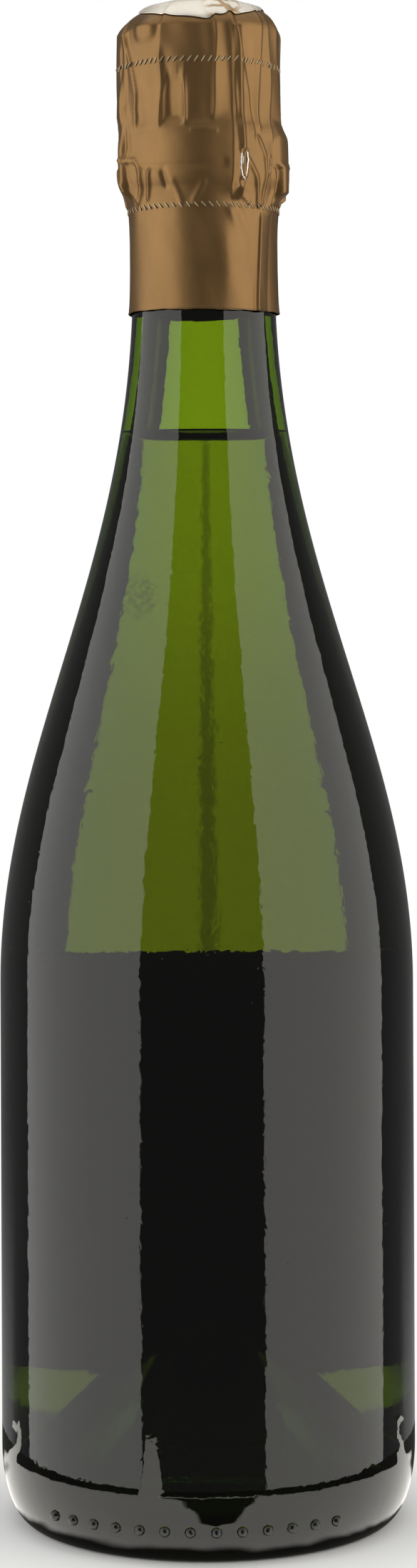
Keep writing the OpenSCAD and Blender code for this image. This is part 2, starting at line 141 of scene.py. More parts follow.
# Colours of marks, worn places with painted highlights, cut edges, and painted shade on the foil's lower
# edge and inside the cuts
SMUDGE = (0.2, 0.16, 0.06)
CLEAR_WINE = (0.97, 0.96, 0.86)
STAIN = (0.12, 0.04, 0.02)
LOWER_EDGE_SHADE = (0.16, 0.1, 0.05)
WORN_HIGHLIGHT = (0.95, 0.93, 0.88)
GOLD_FLAKE = (0.5, 0.29, 0.09)
CUT_SHADE = (0.05, 0.035, 0.02)
CUT_RIM = (0.56, 0.44, 0.27)
CORK_PORE = (0.1, 0.045, 0.02)
PALE_PAINT = (0.86, 0.8, 0.66)
BARE_METAL = (0.55, 0.54, 0.52)
DULL_WIRE = (0.34, 0.33, 0.31)

# Stage, in metres and degrees, with the lens in millimetres
FLOOR_HALF = 4
BACKDROP_HALF = 0.147
BACKDROP_Y = 0.464
CARD_HALF = 0.07
CARD_Y = 0.088
SOFTBOXES = (("left_softbox", -76, (1, 0.985, 0.955)), ("right_softbox", 71, (1, 0.975, 0.925)))
SOFTBOX_SIZE = (1.6, 1.36)
SOFTBOX_REACH = 0.95
SOFTBOX_Z = 0.3
TOP_LAMP_SIZE = 0.9
TOP_LAMP_PLACE = (0, 0.1, 1.3)
CAMERA_PLACE = (0.0007, -0.719, 0.1907)
CAMERA_ROLL = 0.24
CAMERA_LENS = 76.75
CAMERA_SHIFT = -0.1014


# Curves and meshes

def bezier(p0, p1, p2, p3, steps):
    """Points of a smooth curve between two points, drawn in by two more."""
    t = np.linspace(0, 1, steps + 1)[:, None]
    p0, p1, p2, p3 = (np.array(p, float) for p in (p0, p1, p2, p3))
    return (1 - t) ** 3 * p0 + 3 * (1 - t) ** 2 * t * p1 + 3 * (1 - t) * t ** 2 * p2 + t ** 3 * p3


def arc(centre, r, start, end, steps):
    """Points of an arc, with its angles in degrees."""
    a = np.radians(np.linspace(start, end, steps + 1))[:, None]
    return np.array(centre, float) + r * np.hstack([np.cos(a), np.sin(a)])


def joined(*parts):
    """One path from several, without the points that two of them share."""
    points = []
    for part in parts:
        for p in np.atleast_2d(np.array(part, float)):
            if not points or np.linalg.norm(p - points[-1]) > 1e-4:
                points.append(p)
    return np.array(points)


def finer(path, step):
    """The path with more points, none of them further apart than the step."""
    out = [path[0]]
    for a, b in zip(path[:-1], path[1:]):
        n = max(1, math.ceil(np.linalg.norm(b - a) / step))
        out += [a + (b - a) * k / n for k in range(1, n + 1)]
    return np.array(out)


def straight(start, end, step):
    """A straight path between two points, with steps no longer than the one given."""
    return finer(np.array([start, end]), step)


def through(points, steps):
    """A smooth path through all the points."""
    p = np.array(points, float)
    p = np.vstack([p[:1], p, p[-1:]])
    t = np.linspace(0, 1, steps, endpoint=False)[:, None]
    out = [
        (2 * b + (c - a) * t + (2 * a - 5 * b + 4 * c - d) * t ** 2 + (3 * b - a - 3 * c + d) * t ** 3) / 2
        for a, b, c, d in zip(p[:-3], p[1:-2], p[2:-1], p[3:])
    ]
    return np.vstack(out + [p[-1:]])


def evenly(path, count):
    """The same path with evenly spaced points."""
    s = np.concatenate([[0], np.cumsum(np.linalg.norm(np.diff(path, axis=0), axis=1))])
    at = np.linspace(0, s[-1], count)
    return np.stack([np.interp(at, s, path[:, k]) for k in range(path.shape[1])], 1)


def mesh_object(name, points, faces, material, sharp=0):
    """A mesh object from points in millimetres, with its faces turned outwards."""
    mesh = bpy.data.meshes.new(name)
    mesh.from_pydata((np.asarray(points) * MM).tolist(), [], faces)
    work = bmesh.new()
    work.from_mesh(mesh)
    bmesh.ops.remove_doubles(work, verts=work.verts, dist=1e-7)
    bmesh.ops.recalc_face_normals(work, faces=work.faces)
    work.to_mesh(mesh)
    work.free()
    mesh.shade_smooth()
    if sharp:
        mesh.set_sharp_from_angle(angle=math.radians(sharp))
    mesh.materials.append(material)
    thing = bpy.data.objects.new(name, mesh)
    bpy.context.scene.collection.objects.link(thing)
    return thing


def grid_faces(rows, columns, closed_rows=False):
    """Quads of a grid whose columns go all the way round."""
    faces = []
    for i in range(rows if closed_rows else rows - 1):
        a, b = i * columns, (i + 1) % rows * columns
        for j in range(columns):
            k = (j + 1) % columns
            faces.append((a + j, a + k, b + k, b + j))
    return faces


def turned(name, profile, material, steps=240):
    """A body turned from a profile of radius and height that starts and ends on the axis."""
    angles = np.linspace(0, 2 * math.pi, steps, endpoint=False)
    inner = [p for p in profile if p[0] > 1e-6]
    points = np.vstack([
        np.stack([r * np.cos(angles), r * np.sin(angles), np.full(steps, z)], 1) for r, z in inner
    ])
    faces = grid_faces(len(inner), steps)
    last = (len(inner) - 1) * steps
    ends = [(profile[0], 0), (profile[-1], last)]
    for (r, z), first in ends:
        points = np.vstack([points, [0, 0, z]])
        middle = len(points) - 1
        faces += [(middle, first + j, first + (j + 1) % steps) for j in range(steps)]
    return mesh_object(name, points, faces, material)


def ring_band(name, outer, inner, material):
    """A closed band from rings of points on its outside and on its inside."""
    rows, columns = outer.shape[:2]
    points = np.vstack([outer.reshape(-1, 3), inner[::-1].reshape(-1, 3)])
    return mesh_object(name, points, grid_faces(2 * rows, columns, True), material, 60)


def polar(turn, r, z):
    """Points from angles in degrees, radii and heights."""
    a = np.radians(turn)
    return np.stack([r * np.cos(a), r * np.sin(a), z], -1)


def swung(turn, r, aside, z):
    """Points from one angle in degrees, radii, distances to the side and heights."""
    a = math.radians(turn)
    return np.stack([r * math.cos(a) - aside * math.sin(a), r * math.sin(a) + aside * math.cos(a), z], 1)


def bell(off, width, power=2):
    """1 in the middle, and falling away on both sides."""
    return np.exp(-(off / width) ** power)


def wave(turn):
    """The sine of an angle in degrees."""
    return np.sin(np.radians(turn))


# Nodes

class Value:
    """A number in a node tree. Plain sums on it add the nodes that they need."""

    def __init__(self, nodes, socket):
        self.nodes = nodes
        self.socket = socket

    def __add__(self, other):
        return self.nodes.sum("ADD", self, other)

    def __sub__(self, other):
        return self.nodes.sum("SUBTRACT", self, other)

    def __rsub__(self, other):
        return self.nodes.sum("SUBTRACT", other, self)

    def __mul__(self, other):
        return self.nodes.sum("MULTIPLY", self, other)

    def __pow__(self, other):
        return self.nodes.sum("POWER", self, other)

    def __abs__(self):
        return self.nodes.sum("ABSOLUTE", self)

    __radd__ = __add__
    __rmul__ = __mul__


class Nodes:
    """Adds nodes to one tree of a material, a world or a modifier."""

    def __init__(self, tree):
        self.tree = tree

    def add(self, kind, settings=None, inputs=None, out=0):
        """A node from its type, its settings and the values or links of its sockets."""
        node = self.tree.nodes.new(kind)
        for key, value in (settings or {}).items():
            setattr(node, key, value)
        for key, value in (inputs or {}).items():
            socket = node.inputs[key]
            if isinstance(value, Value):
                self.tree.links.new(value.socket, socket)
            elif hasattr(value, "__len__") and not isinstance(value, str):
                socket.default_value = (*value, 1.0)[:len(socket.default_value)]
            else:
                socket.default_value = value
        return Value(self, node.outputs[out])

    def sum(self, operation, *terms):
        """One Math node."""
        return self.add("ShaderNodeMath", {"operation": operation}, dict(enumerate(terms)))

    def parts(self, vector):
        """The x, y and z of a vector."""
        node = self.add("ShaderNodeSeparateXYZ", inputs={0: vector}).socket.node
        return [Value(self, node.outputs[k]) for k in range(3)]

    def place(self):
        """The point that is shaded, in metres, and its x, y and z."""
        where = self.add("ShaderNodeTexCoord", out="Object")
        return where, *self.parts(where)

    def bearing(self, x, y):
        """Angle from the camera's side, in radians."""
        return self.sum("ARCTAN2", x, 0 - y)

    def rays(self, *kinds):
        """1 for each of the given kinds of light ray, otherwise 0."""
        node = self.add("ShaderNodeLightPath").socket.node
        return [Value(self, node.outputs[f"Is {kind} Ray"]) for kind in kinds]

    def noise(self, where, scale, detail=2.0, roughness=0.5, distortion=0.0):
        """Soft clouds, from 0 to 1."""
        return self.add("ShaderNodeTexNoise", inputs={
            "Vector": where, "Scale": scale, "Detail": detail, "Roughness": roughness,
            "Distortion": distortion,
        })

    def cells(self, where, scale, out="Color", **settings):
        """A pattern of cells: their colours, or how far each point is from a middle or an edge."""
        return self.add("ShaderNodeTexVoronoi", settings, {"Vector": where, "Scale": scale}, out)

    def stretched(self, where, scale):
        """The point with its axes scaled, so that a pattern on it is longer one way."""
        return self.add("ShaderNodeMapping", inputs={"Vector": where, "Scale": scale})

    def ease(self, value, low, high):
        """0 at the first value, 1 at the second, and smooth between them."""
        return self.add("ShaderNodeMapRange", {"interpolation_type": "SMOOTHSTEP"},
                        {"Value": value, "From Min": low, "From Max": high})

    def blend(self, share, first, second):
        """A colour between two others."""
        return self.add("ShaderNodeMix", {"data_type": "RGBA"}, {0: share, 6: first, 7: second}, 2)

    def tinted(self, colour, value):
        """A colour made darker or lighter by a value."""
        scale = self.add("ShaderNodeCombineXYZ", inputs={0: value, 1: value, 2: value})
        return self.add("ShaderNodeVectorMath", {"operation": "MULTIPLY"}, {0: colour, 1: scale})

    def bump(self, height, distance):
        """A relief, with its height from 0 to 1 and its depth in metres."""
        return self.add("ShaderNodeBump", inputs={"Height": height, "Distance": distance, "Strength": 1.0})

    def coated(self, **inputs):
        """The main shader, with its sockets given by name."""
        return self.add("ShaderNodeBsdfPrincipled", inputs={
            key.replace("_", " "): value for key, value in inputs.items()
        })

    def absorbing(self, colour, density):
        """A clear volume that takes light away."""
        return self.add("ShaderNodeVolumeAbsorption", inputs={"Color": colour, "Density": density})

    def glowing(self, colour, strength):
        """A shader that gives off light."""
        return self.add("ShaderNodeEmission", inputs={"Color": colour, "Strength": strength})

    def between(self, share, first, second):
        """A shader between two others."""
        return self.add("ShaderNodeMixShader", inputs={0: share, 1: first, 2: second})


def finish(name):
    """Turns a function that adds a material's nodes into one that gives the material, made once."""
    def from_nodes(add_nodes):
        @functools.cache
        def get():
            material = bpy.data.materials.new(name)
            material.use_nodes = True
            material.node_tree.nodes.clear()
            output = material.node_tree.nodes.new("ShaderNodeOutputMaterial")
            shaders = add_nodes(Nodes(material.node_tree))
            if isinstance(shaders, Value):
                shaders = (shaders,)
            for key, shader in zip(("Surface", "Volume"), shaders):
                material.node_tree.links.new(shader.socket, output.inputs[key])
            return material
        return get
    return from_nodes


def modified(name, points, edges, tree, attributes=None, **values):
    """A plain mesh that a node modifier makes from points and edges in millimetres."""
    mesh = bpy.data.meshes.new(name)
    mesh.from_pydata((np.asarray(points) * MM).tolist(), edges, [])
    thing = bpy.data.objects.new(name, mesh)
    bpy.context.scene.collection.objects.link(thing)
    for key, numbers in (attributes or {}).items():
        data = mesh.attributes.new(key, "FLOAT_VECTOR", "POINT")
        data.data.foreach_set("vector", np.asarray(numbers, np.float32).ravel())
    modifier = thing.modifiers.new("make", "NODES")
    modifier.node_group = tree
    sockets = {s.name: s.identifier for s in tree.interface.items_tree if s.in_out == "INPUT"}
    for key, value in values.items():
        modifier[sockets[key]] = value
    ready = thing.evaluated_get(bpy.context.evaluated_depsgraph_get())
    plain = bpy.data.meshes.new_from_object(ready)
    thing.modifiers.clear()
    thing.data = plain
    return thing


def new_tree(name, inputs):
    """An empty node modifier with named inputs. Returns its tree, nodes and input values."""
    tree = bpy.data.node_groups.new(name, "GeometryNodeTree")
    tree.interface.new_socket(name="Geometry", in_out="INPUT", socket_type="NodeSocketGeometry")
    tree.interface.new_socket(name="Geometry", in_out="OUTPUT", socket_type="NodeSocketGeometry")
    for key, kind in inputs.items():
        tree.interface.new_socket(name=key, in_out="INPUT", socket_type="NodeSocket" + kind)
    nodes = Nodes(tree)
    entry = tree.nodes.new("NodeGroupInput")
    return tree, nodes, {s.name: Value(nodes, s) for s in entry.outputs if s.name}


def end_tree(tree, nodes, shape, material):
    """Ends a node modifier with real meshes, smooth faces and a material."""
    real = nodes.add("GeometryNodeRealizeInstances", inputs={"Geometry": shape})
    smooth = nodes.add("GeometryNodeSetShadeSmooth", inputs={"Geometry": real})
    with_material = nodes.add("GeometryNodeSetMaterial", inputs={"Geometry": smooth, "Material": material})
    tree.links.new(with_material.socket, tree.nodes.new("NodeGroupOutput").inputs[0])
    return tree


@functools.cache
def wire_tree():
    """Runs round wire along each line of points. Made once."""
    tree, nodes, given = new_tree("wire_along_path", {
        "Radius": "Float", "Sides": "Int", "Material": "Material",
    })
    path = nodes.add("GeometryNodeMeshToCurve", inputs={"Mesh": given["Geometry"]})
    section = nodes.add("GeometryNodeCurvePrimitiveCircle", inputs={
        "Resolution": given["Sides"], "Radius": given["Radius"],
    })
    wire = nodes.add("GeometryNodeCurveToMesh", inputs={
        "Curve": path, "Profile Curve": section, "Fill Caps": True,
    })
    return end_tree(tree, nodes, wire, given["Material"])


@functools.cache
def bead_tree():
    """Puts one rounded bead on each point, turned by the point's own facing. Made once."""
    tree, nodes, given = new_tree("beads_on_points", {
        "Size": "Vector", "Segments": "Int", "Rings": "Int", "Material": "Material",
    })
    bead = nodes.add("GeometryNodeMeshUVSphere", inputs={
        "Segments": given["Segments"], "Rings": given["Rings"], "Radius": 0.5,
    })
    facing = nodes.add("GeometryNodeInputNamedAttribute", {"data_type": "FLOAT_VECTOR"}, {"Name": "facing"})
    placed = nodes.add("GeometryNodeInstanceOnPoints", inputs={
        "Points": given["Geometry"], "Instance": bead, "Rotation": facing, "Scale": given["Size"],
    })
    return end_tree(tree, nodes, placed, given["Material"])


def done(piece, body, slot, *nodes):
    """Puts a finished piece on its body and hides the solids that it stands for; the finish that it is
    given is not used.
    """
    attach(piece, body)
    if nodes:
        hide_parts(*nodes)


# Shape of the glass

HEEL = np.array([
    [BEARING_R + (BODY_R - BEARING_R) * math.sin(a), HEEL_H * (1 - math.cos(a))]
    for a in np.linspace(0, math.pi / 2, 40)
])
SPAN = SHOULDER_END - SHOULDER_START
SHOULDER = bezier(
    (BODY_R, SHOULDER_START), (BODY_R, SHOULDER_START + SPAN * SHOULDER_LOW),
    (NECK_R, SHOULDER_END - SPAN * SHOULDER_HIGH), (NECK_R, SHOULDER_END), 90)
INNER_SHOULDER = bezier(
    (NECK_BORE_R, SHOULDER_END), (NECK_BORE_R, SHOULDER_END - SPAN * SHOULDER_HIGH),
    (BODY_R - WALL, SHOULDER_START + SPAN * SHOULDER_LOW), (BODY_R - WALL, SHOULDER_START), 90)
CAVITY = joined(
    (NECK_BORE_R, GLASS_H - 32),
    INNER_SHOULDER,
    bezier((BODY_R - WALL, BASE_T + 12), (BODY_R - WALL, BASE_T + 3.6),
           (BODY_R * 0.84, BASE_T), (BODY_R * 0.79, BASE_T), 20),
    bezier((BODY_R * 0.79, BASE_T), (BODY_R * 0.66, BASE_T),
           (PUNT_R * 0.42, PUNT_H + BASE_T), (0, PUNT_H + BASE_T), 40),
)
GLASS = joined(
    bezier((0, PUNT_H), (PUNT_R * 0.42, PUNT_H), (PUNT_R * 0.72, PUNT_H * 0.42), (PUNT_R, 0), 40),
    HEEL,
    straight((BODY_R, HEEL_H), (BODY_R, SHOULDER_START), 8),
    SHOULDER,
    (NECK_R, COLLAR_ROOT),
    arc((COLLAR_R - EDGE_R, COLLAR_LOW + EDGE_R), EDGE_R, -60, 0, 6),
    arc((COLLAR_R - EDGE_R, COLLAR_TOP - EDGE_R), EDGE_R, 0, 75, 8),
    (GROOVE_R, COLLAR_TOP + 0.55), (GROOVE_R, COLLAR_TOP + 1.65),
    arc((LIP_R - EDGE_R, LIP_LOW + EDGE_R), EDGE_R, -30, 0, 4),
    arc((LIP_R - EDGE_R, GLASS_H - EDGE_R), EDGE_R, 0, 90, 10),
    (BORE_R, GLASS_H), (BORE_R, GLASS_H - 27),
    CAVITY,
)


def glass_r(z):
    """Outer radius of the glass at a height on the body, shoulder or neck."""
    side = joined(HEEL, SHOULDER)
    return np.interp(z, side[:, 1], side[:, 0])


# Shape of the foil

def apart(turn, other):
    """Angle between two directions, from -180 to 180."""
    return (turn - other + 180) % 360 - 180


def table(z, *rows):
    """A value that changes with height, from rows of height and value."""
    return np.interp(z, [r[0] for r in rows], [r[1] for r in rows])


# Folds: direction, height, width of the flank before and after the crest in millimetres,
# the heights between which each runs, and its lean in degrees per millimetre on the head
NEAR_FOLDS = [
    (-171, 0.5, 0.6, 2.2, 296, 324, -0.4),
    (-155, 0.55, 2.0, 0.5, 297, 316, -0.8),
    (-140.5, 0.75, 2.2, 0.5, 295.5, 320, -1.2),
    (-121.5, 0.7, 2.2, 0.6, 295.5, 313, -0.1),
    (-118.5, 0.35, 0.45, 1.5, 304, 326, 0),
    (-101.5, 0.42, 1.3, 0.8, 296, 309, 0),
    (-82, 0.6, 0.9, 1.9, 297, 326, 0),
    (-68.5, 0.5, 0.85, 1.6, 298, 326, 0),
    (-55, 0.7, 1.8, 0.5, 293, 324, -0.8),
    (-45.5, 0.65, 1.6, 0.5, 295, 326, 0.1),
    (-34, 0.6, 1.7, 0.5, 293, 326, 0),
    (-18, 0.5, 1.7, 0.6, 296, 326, 0),
]
FAR_FOLDS = [
    (9, 0.6, 0.5, 2.1, 296, 326, 0),
    (27, 0.4, 1.8, 0.75, 300, 326, 0),
    (47, 0.65, 0.5, 2.2, 295, 325, 0),
    (66, 0.5, 2.0, 0.75, 296, 326, 0),
    (84, 0.7, 0.45, 2.2, 297, 326, 0),
    (103, 0.45, 1.7, 0.75, 296, 318, 0),
    (121, 0.6, 2.1, 0.75, 295, 326, 0),
    (140, 0.65, 0.5, 2.0, 297, 326, 0),
    (158, 0.5, 1.8, 0.75, 299, 325, 0),
    (176, 0.5, 0.5, 1.7, 296, 326, 0),
]
# Creases: lines of direction and height, the height and width of each, and how far it is worn bright with a
# painted highlight
CREASES = [
    ([(-65.8, 289.6), (-66.2, 286.6), (-65, 285), (-62.6, 284.2), (-60.4, 285.2), (-59.8, 287),
      (-59.8, 290.2)], 0.45, 0.4, 1),
    ([(-62.8, 290), (-63, 285.5)], -0.45, 0.5, 0),
    ([(-63, 291), (-62.2, 302), (-64.5, 312), (-65.5, 320)], 0.55, 0.75, 0),
    ([(-66.5, 283), (-61, 281.4), (-54, 280)], 0.35, 0.45, 0),
    ([(-58, 288.5), (-51, 285.5), (-46.5, 282), (-45.5, 279.5)], 0.5, 0.5, 0),
    ([(-49, 293.5), (-43.5, 290), (-41.5, 286), (-41.5, 280)], 0.45, 0.45, 0),
    ([(-37.5, 289.5), (-38.5, 286.5)], 0.4, 0.35, 0.5),
    ([(-33, 287), (-28, 283), (-31, 280)], 0.4, 0.55, 0),
    ([(-155, 289.5), (-142, 289), (-137.5, 286.5), (-140, 283), (-146, 280.4)], 0.55, 0.6, 0),
    ([(-160, 285), (-151, 283.6), (-148, 281)], 0.4, 0.6, 0),
    ([(-129.5, 286.5), (-131, 284.5), (-135, 281)], 0.45, 0.5, 0),
    ([(-118.6, 286), (-117.6, 283.6)], -0.5, 0.75, 0),
    ([(-152, 300), (-147, 292), (-150, 289)], 0.45, 0.7, 0),
    ([(-119, 297), (-118.4, 303), (-116, 306), (-110, 307), (-104.6, 306), (-102.2, 303),
      (-102, 297)], 0.2, 0.35, 0),
    ([(-142, 287.8), (-122, 287.2), (-98, 287.3), (-76, 287.8)], -0.28, 0.7, 0),
    ([(-112, 284), (-107, 280)], 0.22, 0.7, 0),
    ([(-90, 283.6), (-97, 280)], 0.2, 0.8, 0),
    ([(-98, 294.7), (-90, 294.9), (-81, 294.6)], 0.14, 0.35, 0),
    ([(-103, 296.4), (-112, 295.4), (-120, 294)], 0.1, 0.6, 0),
    ([(60, 290), (54, 285), (58, 281)], 0.4, 0.5, 0),
    ([(150, 289), (143, 284), (147, 281)], 0.4, 0.5, 0),
    ([(95, 288), (100, 284), (96, 280.5)], 0.4, 0.5, 0),
    ([(18, 289), (24, 284), (20, 280.5)], 0.4, 0.5, 0),
    ([(-8, 289), (-3, 284), (-7, 280.5)], 0.4, 0.5, 0),
    ([(-176, 288), (178, 284), (-178, 280.5)], 0.4, 0.5, 0),
]


def folds(turn, z, depth):
    """How far the folds lift the foil off its smooth form."""
    lift = np.zeros_like(turn)
    for n, (place, height, before, after, low, high, lean) in enumerate(NEAR_FOLDS + FAR_FOLDS):
        wander = 1.5 * np.sin(z / 6.5 + 1.7 * n) + 0.5 * np.sin(z / 2.6 + n)
        along = apart(turn, place + wander + lean * np.maximum(z - LEAN_FROM, 0)) * FOLD_ARC
        flank = np.exp(-np.abs(along / np.where(along < 0, before, after)) ** 1.35)
        ends = table(z, (low - 0.6, 0), (low + 1.4, 1), (high - 3, 1), (high, 0.15), (high + 1.4, 0))
        lift += height * ends * (flank - 0.35 * bell(along, 2.6))
    hollow = bell(apart(turn, -110), 6.4, 4) * table(z, (295, 0), (298, 1), (304, 0.9), (307.5, 0))
    swell = 0.16 * wave(turn * 5 + 20) * np.sin(z / 4.5) + 0.08 * np.sin(np.radians(turn * 13) + z / 3)
    swell += 0.75 * np.exp(-((apart(turn, -133) / 9.5) ** 2 + ((z - 316.6) / 3) ** 2) ** 2.2)
    lift += (swell - 0.6 * hollow) * table(z, (294, 0), (298, 1), (318, 1), (322, 0))
    return lift * depth


def creases(turn, z, bright=False):
    """How far the short creases lift the foil, or how far they are worn bright with a painted highlight."""
    lift = np.zeros_like(turn)
    for line, height, width, worn in CREASES:
        near = np.full(turn.shape, 1e3)
        for (t0, z0), (t1, z1) in zip(line[:-1], line[1:]):
            ax, bx = apart(turn, t0) * CREASE_ARC, apart(t1, t0) * CREASE_ARC
            share = np.clip((ax * bx + (z - z0) * (z1 - z0)) / (bx * bx + (z1 - z0) ** 2), 0, 1)
            near = np.minimum(near, np.hypot(ax - share * bx, z - z0 - share * (z1 - z0)))
        lift += worn * bell(near / width, 0.55) if bright else height * bell(near, width)
    return lift


def over_wires(turn, z, base):
    """How far the legs of the cage and its loop lift the foil."""
    low = table(z, (280.2, 0), (281.4, 0.35), (282.7, 1))
    high = table(z, (291.6, 1), (294, 0.75), (297, 0.42), (300, 0.26), (316.8, 0.14), (320, 0))
    lift = np.zeros_like(turn)
    for place in LEG_TURNS:
        off = np.abs(apart(turn, place))
        lift = np.maximum(lift, (0.72 * bell(off, 3.4, 4) + 0.28 * bell(off, 9)) * high)
    off = np.abs(apart(turn, LOOP_TURN))
    wide = table(z, (283, 6), (287.4, 6.4), (288.8, 12.5), (293.8, 12.5), (297, 9))
    tall = table(z, (283, 1.66), (288.2, 1.66), (289.2, 1.08), (294.4, 1), (298, 0))
    lift = np.maximum(lift, 0.57 * bell(off, wide, 6) * tall)
    return np.maximum(OVER_WIRE_R - base, 0) * lift * low


def foil_r(turn, z, depth, slack):
    """Outer radius of the foil at a direction and a height below its upper edge."""
    base = table(
        z, (LOWER_ROW, 16.2), (280, 16.3), (281.5, 16.55), (283.2, 17), (284.2, 17.35), (285.2, 17.62),
        (287, 17.78), (290, 17.84), (293, 17.76), (294.6, 17.6), (295.8, 17.35), (297, 16.95),
        (298.4, 16.68), (300, 16.6), (309, 16.5), (HEAD_EDGE_Z, CROWN_R))
    tucked = 0.45 * bell(apart(turn, 4), 34, 4)
    base = base - tucked * table(z, (280.5, 0), (282.6, 1), (284.4, 1), (285.6, 0))
    loose = slack_at(turn, slack) * table(z, (283, 0), (286, 0.25), (295, 0.4), (300, 1))
    return base + loose + over_wires(turn, z, base) + folds(turn, z, depth) + creases(turn, z)


def slack_at(turn, slack):
    """How far the foil stands off at a direction. It is loose on one side."""
    return slack * (1 - np.cos(np.radians(turn))) / 2


def row_bow(turn, z):
    """How far the upper row of cuts runs off its level."""
    near_row = table(z, (UPPER_ROW - 9, 0), (UPPER_ROW, 1), (HEAD_EDGE_Z, 0))
    return (-0.35 * wave(turn) + 0.08 * wave(turn * 5)) * near_row


def dish(reach):
    """Height of the hollow top of the foil, at a distance from the axis."""
    return FOIL_TOP - DISC_DROP * (reach / DISC_R) ** 2


def foil_band(name, radii, heights):
    """A thin closed band of foil from its outer radii and heights, row by row."""
    turns = ROUND[None, :]
    outer = polar(turns, radii, heights)
    step = np.gradient(outer, axis=0)
    around = np.roll(outer, -1, 1) - np.roll(outer, 1, 1)
    inwards = np.cross(step, around)
    inwards /= np.linalg.norm(inwards, axis=2, keepdims=True)
    flip = np.sign((inwards * polar(turns, np.ones_like(radii), np.zeros_like(radii))).sum(2).mean())
    inner = outer - flip * FOIL_T * inwards
    inner[0, :, 2] = outer[0, :, 2]
    return ring_band(name, outer, inner, foil_material())


# What a user can change

class GlassLook(bpy.types.PropertyGroup):
    tint: FloatVectorProperty(
        name="Tint", description="Colour that light takes at each wall of the glass",
        subtype="COLOR", size=3, min=0, max=1, default=(0.9, 0.94, 0.7))
    depth_tint: FloatVectorProperty(
        name="Depth tint", description="Colour of the light that thick glass lets through",
        subtype="COLOR", size=3, min=0, max=1, default=(0.785, 0.835, 0.15))
    depth: FloatProperty(
        name="Density", description="How fast thick glass takes light away, per metre",
        min=0, max=5000, default=800)
    waviness: FloatProperty(
        name="Waviness", description="Height of the faint waves on the surface",
        subtype="DISTANCE", unit="LENGTH", min=0, max=0.001, precision=6, default=0.00005)
    dot_count: IntProperty(
        name="Dots", description="Number of raised dots on the heel", min=1, max=24, default=13)


class WineLook(bpy.types.PropertyGroup):
    tint: FloatVectorProperty(
        name="Tint", description="Colour of the light that deep wine lets through",
        subtype="COLOR", size=3, min=0, max=1, default=(0.85, 0.78, 0.38))
    depth: FloatProperty(
        name="Density", description="How fast the wine takes light away, per metre",
        min=0, max=500, default=40)
    meniscus: FloatProperty(
        name="Meniscus", description="How far the wine climbs the glass at its edge",
        subtype="DISTANCE", unit="LENGTH", min=0, max=0.003, precision=5, default=0.0028)


class LabelLook(bpy.types.PropertyGroup):
    paper: FloatVectorProperty(
        name="Paper", description="Colour of the label paper",
        subtype="COLOR", size=3, min=0, max=1, default=(0.78, 0.74, 0.64))
    line: FloatVectorProperty(
        name="Line", description="Colour of the plain line round the label",
        subtype="COLOR", size=3, min=0, max=1, default=(0.42, 0.3, 0.13))


class FoilLook(bpy.types.PropertyGroup):
    bronze: FloatVectorProperty(
        name="Bronze", description="Colour of the foil",
        subtype="COLOR", size=3, min=0, max=1, default=(0.262, 0.15, 0.06))
    pale: FloatVectorProperty(
        name="Pale", description="Colour of the disc on top and of the cut edges",
        subtype="COLOR", size=3, min=0, max=1, default=(0.93, 0.87, 0.76))
    fold_depth: FloatProperty(
        name="Fold depth", description="Depth of the folds, as a share of the usual one",
        min=0, max=1.5, default=1)
    slack: FloatProperty(
        name="Slack", description="How far the foil stands off on its loose side",
        subtype="DISTANCE", unit="LENGTH", min=0, max=0.003, precision=5, default=0.0017)
    upper_cuts: IntProperty(
        name="Upper cuts", description="Number of cuts in the upper row", min=20, max=120, default=76)
    lower_cuts: IntProperty(
        name="Lower cuts", description="Number of cuts in the lower row", min=20, max=120, default=64)


class CorkLook(bpy.types.PropertyGroup):
    pale: FloatVectorProperty(
        name="Pale grain", description="Colour of the palest grains",
        subtype="COLOR", size=3, min=0, max=1, default=(0.62, 0.42, 0.24))
    dark: FloatVectorProperty(
        name="Dark grain", description="Colour of the darkest grains",
        subtype="COLOR", size=3, min=0, max=1, default=(0.3, 0.16, 0.08))


class CageLook(bpy.types.PropertyGroup):
    steel: FloatVectorProperty(
        name="Wire", description="Colour of the wire",
        subtype="COLOR", size=3, min=0, max=1, default=(0.62, 0.61, 0.58))
    enamel: FloatVectorProperty(
        name="Cap", description="Colour of the paint on the cap",
        subtype="COLOR", size=3, min=0, max=1, default=(0.7, 0.56, 0.28))
    twist: FloatProperty(
        name="Twist", description="Length of one turn of a twisted leg",
        subtype="DISTANCE", unit="LENGTH", min=0.004, max=0.03, precision=4, default=0.012)


class StageLook(bpy.types.PropertyGroup):
    side_power: FloatProperty(
        name="Side lamps", description="Power of each of the two large side lamps",
        subtype="POWER", unit="POWER", min=0, max=200, default=10.2)
    top_power: FloatProperty(
        name="Top lamp", description="Power of the lamp overhead", subtype="POWER", unit="POWER",
        min=0, max=200, default=3)
    fill: FloatProperty(
        name="Fill", description="Brightness of the soft light from all round", min=0, max=1, default=0.66)
    floor: FloatVectorProperty(
        name="Floor", description="Colour of the floor", subtype="COLOR", size=3, min=0, max=1,
        default=(0.9, 0.9, 0.89))


# Materials

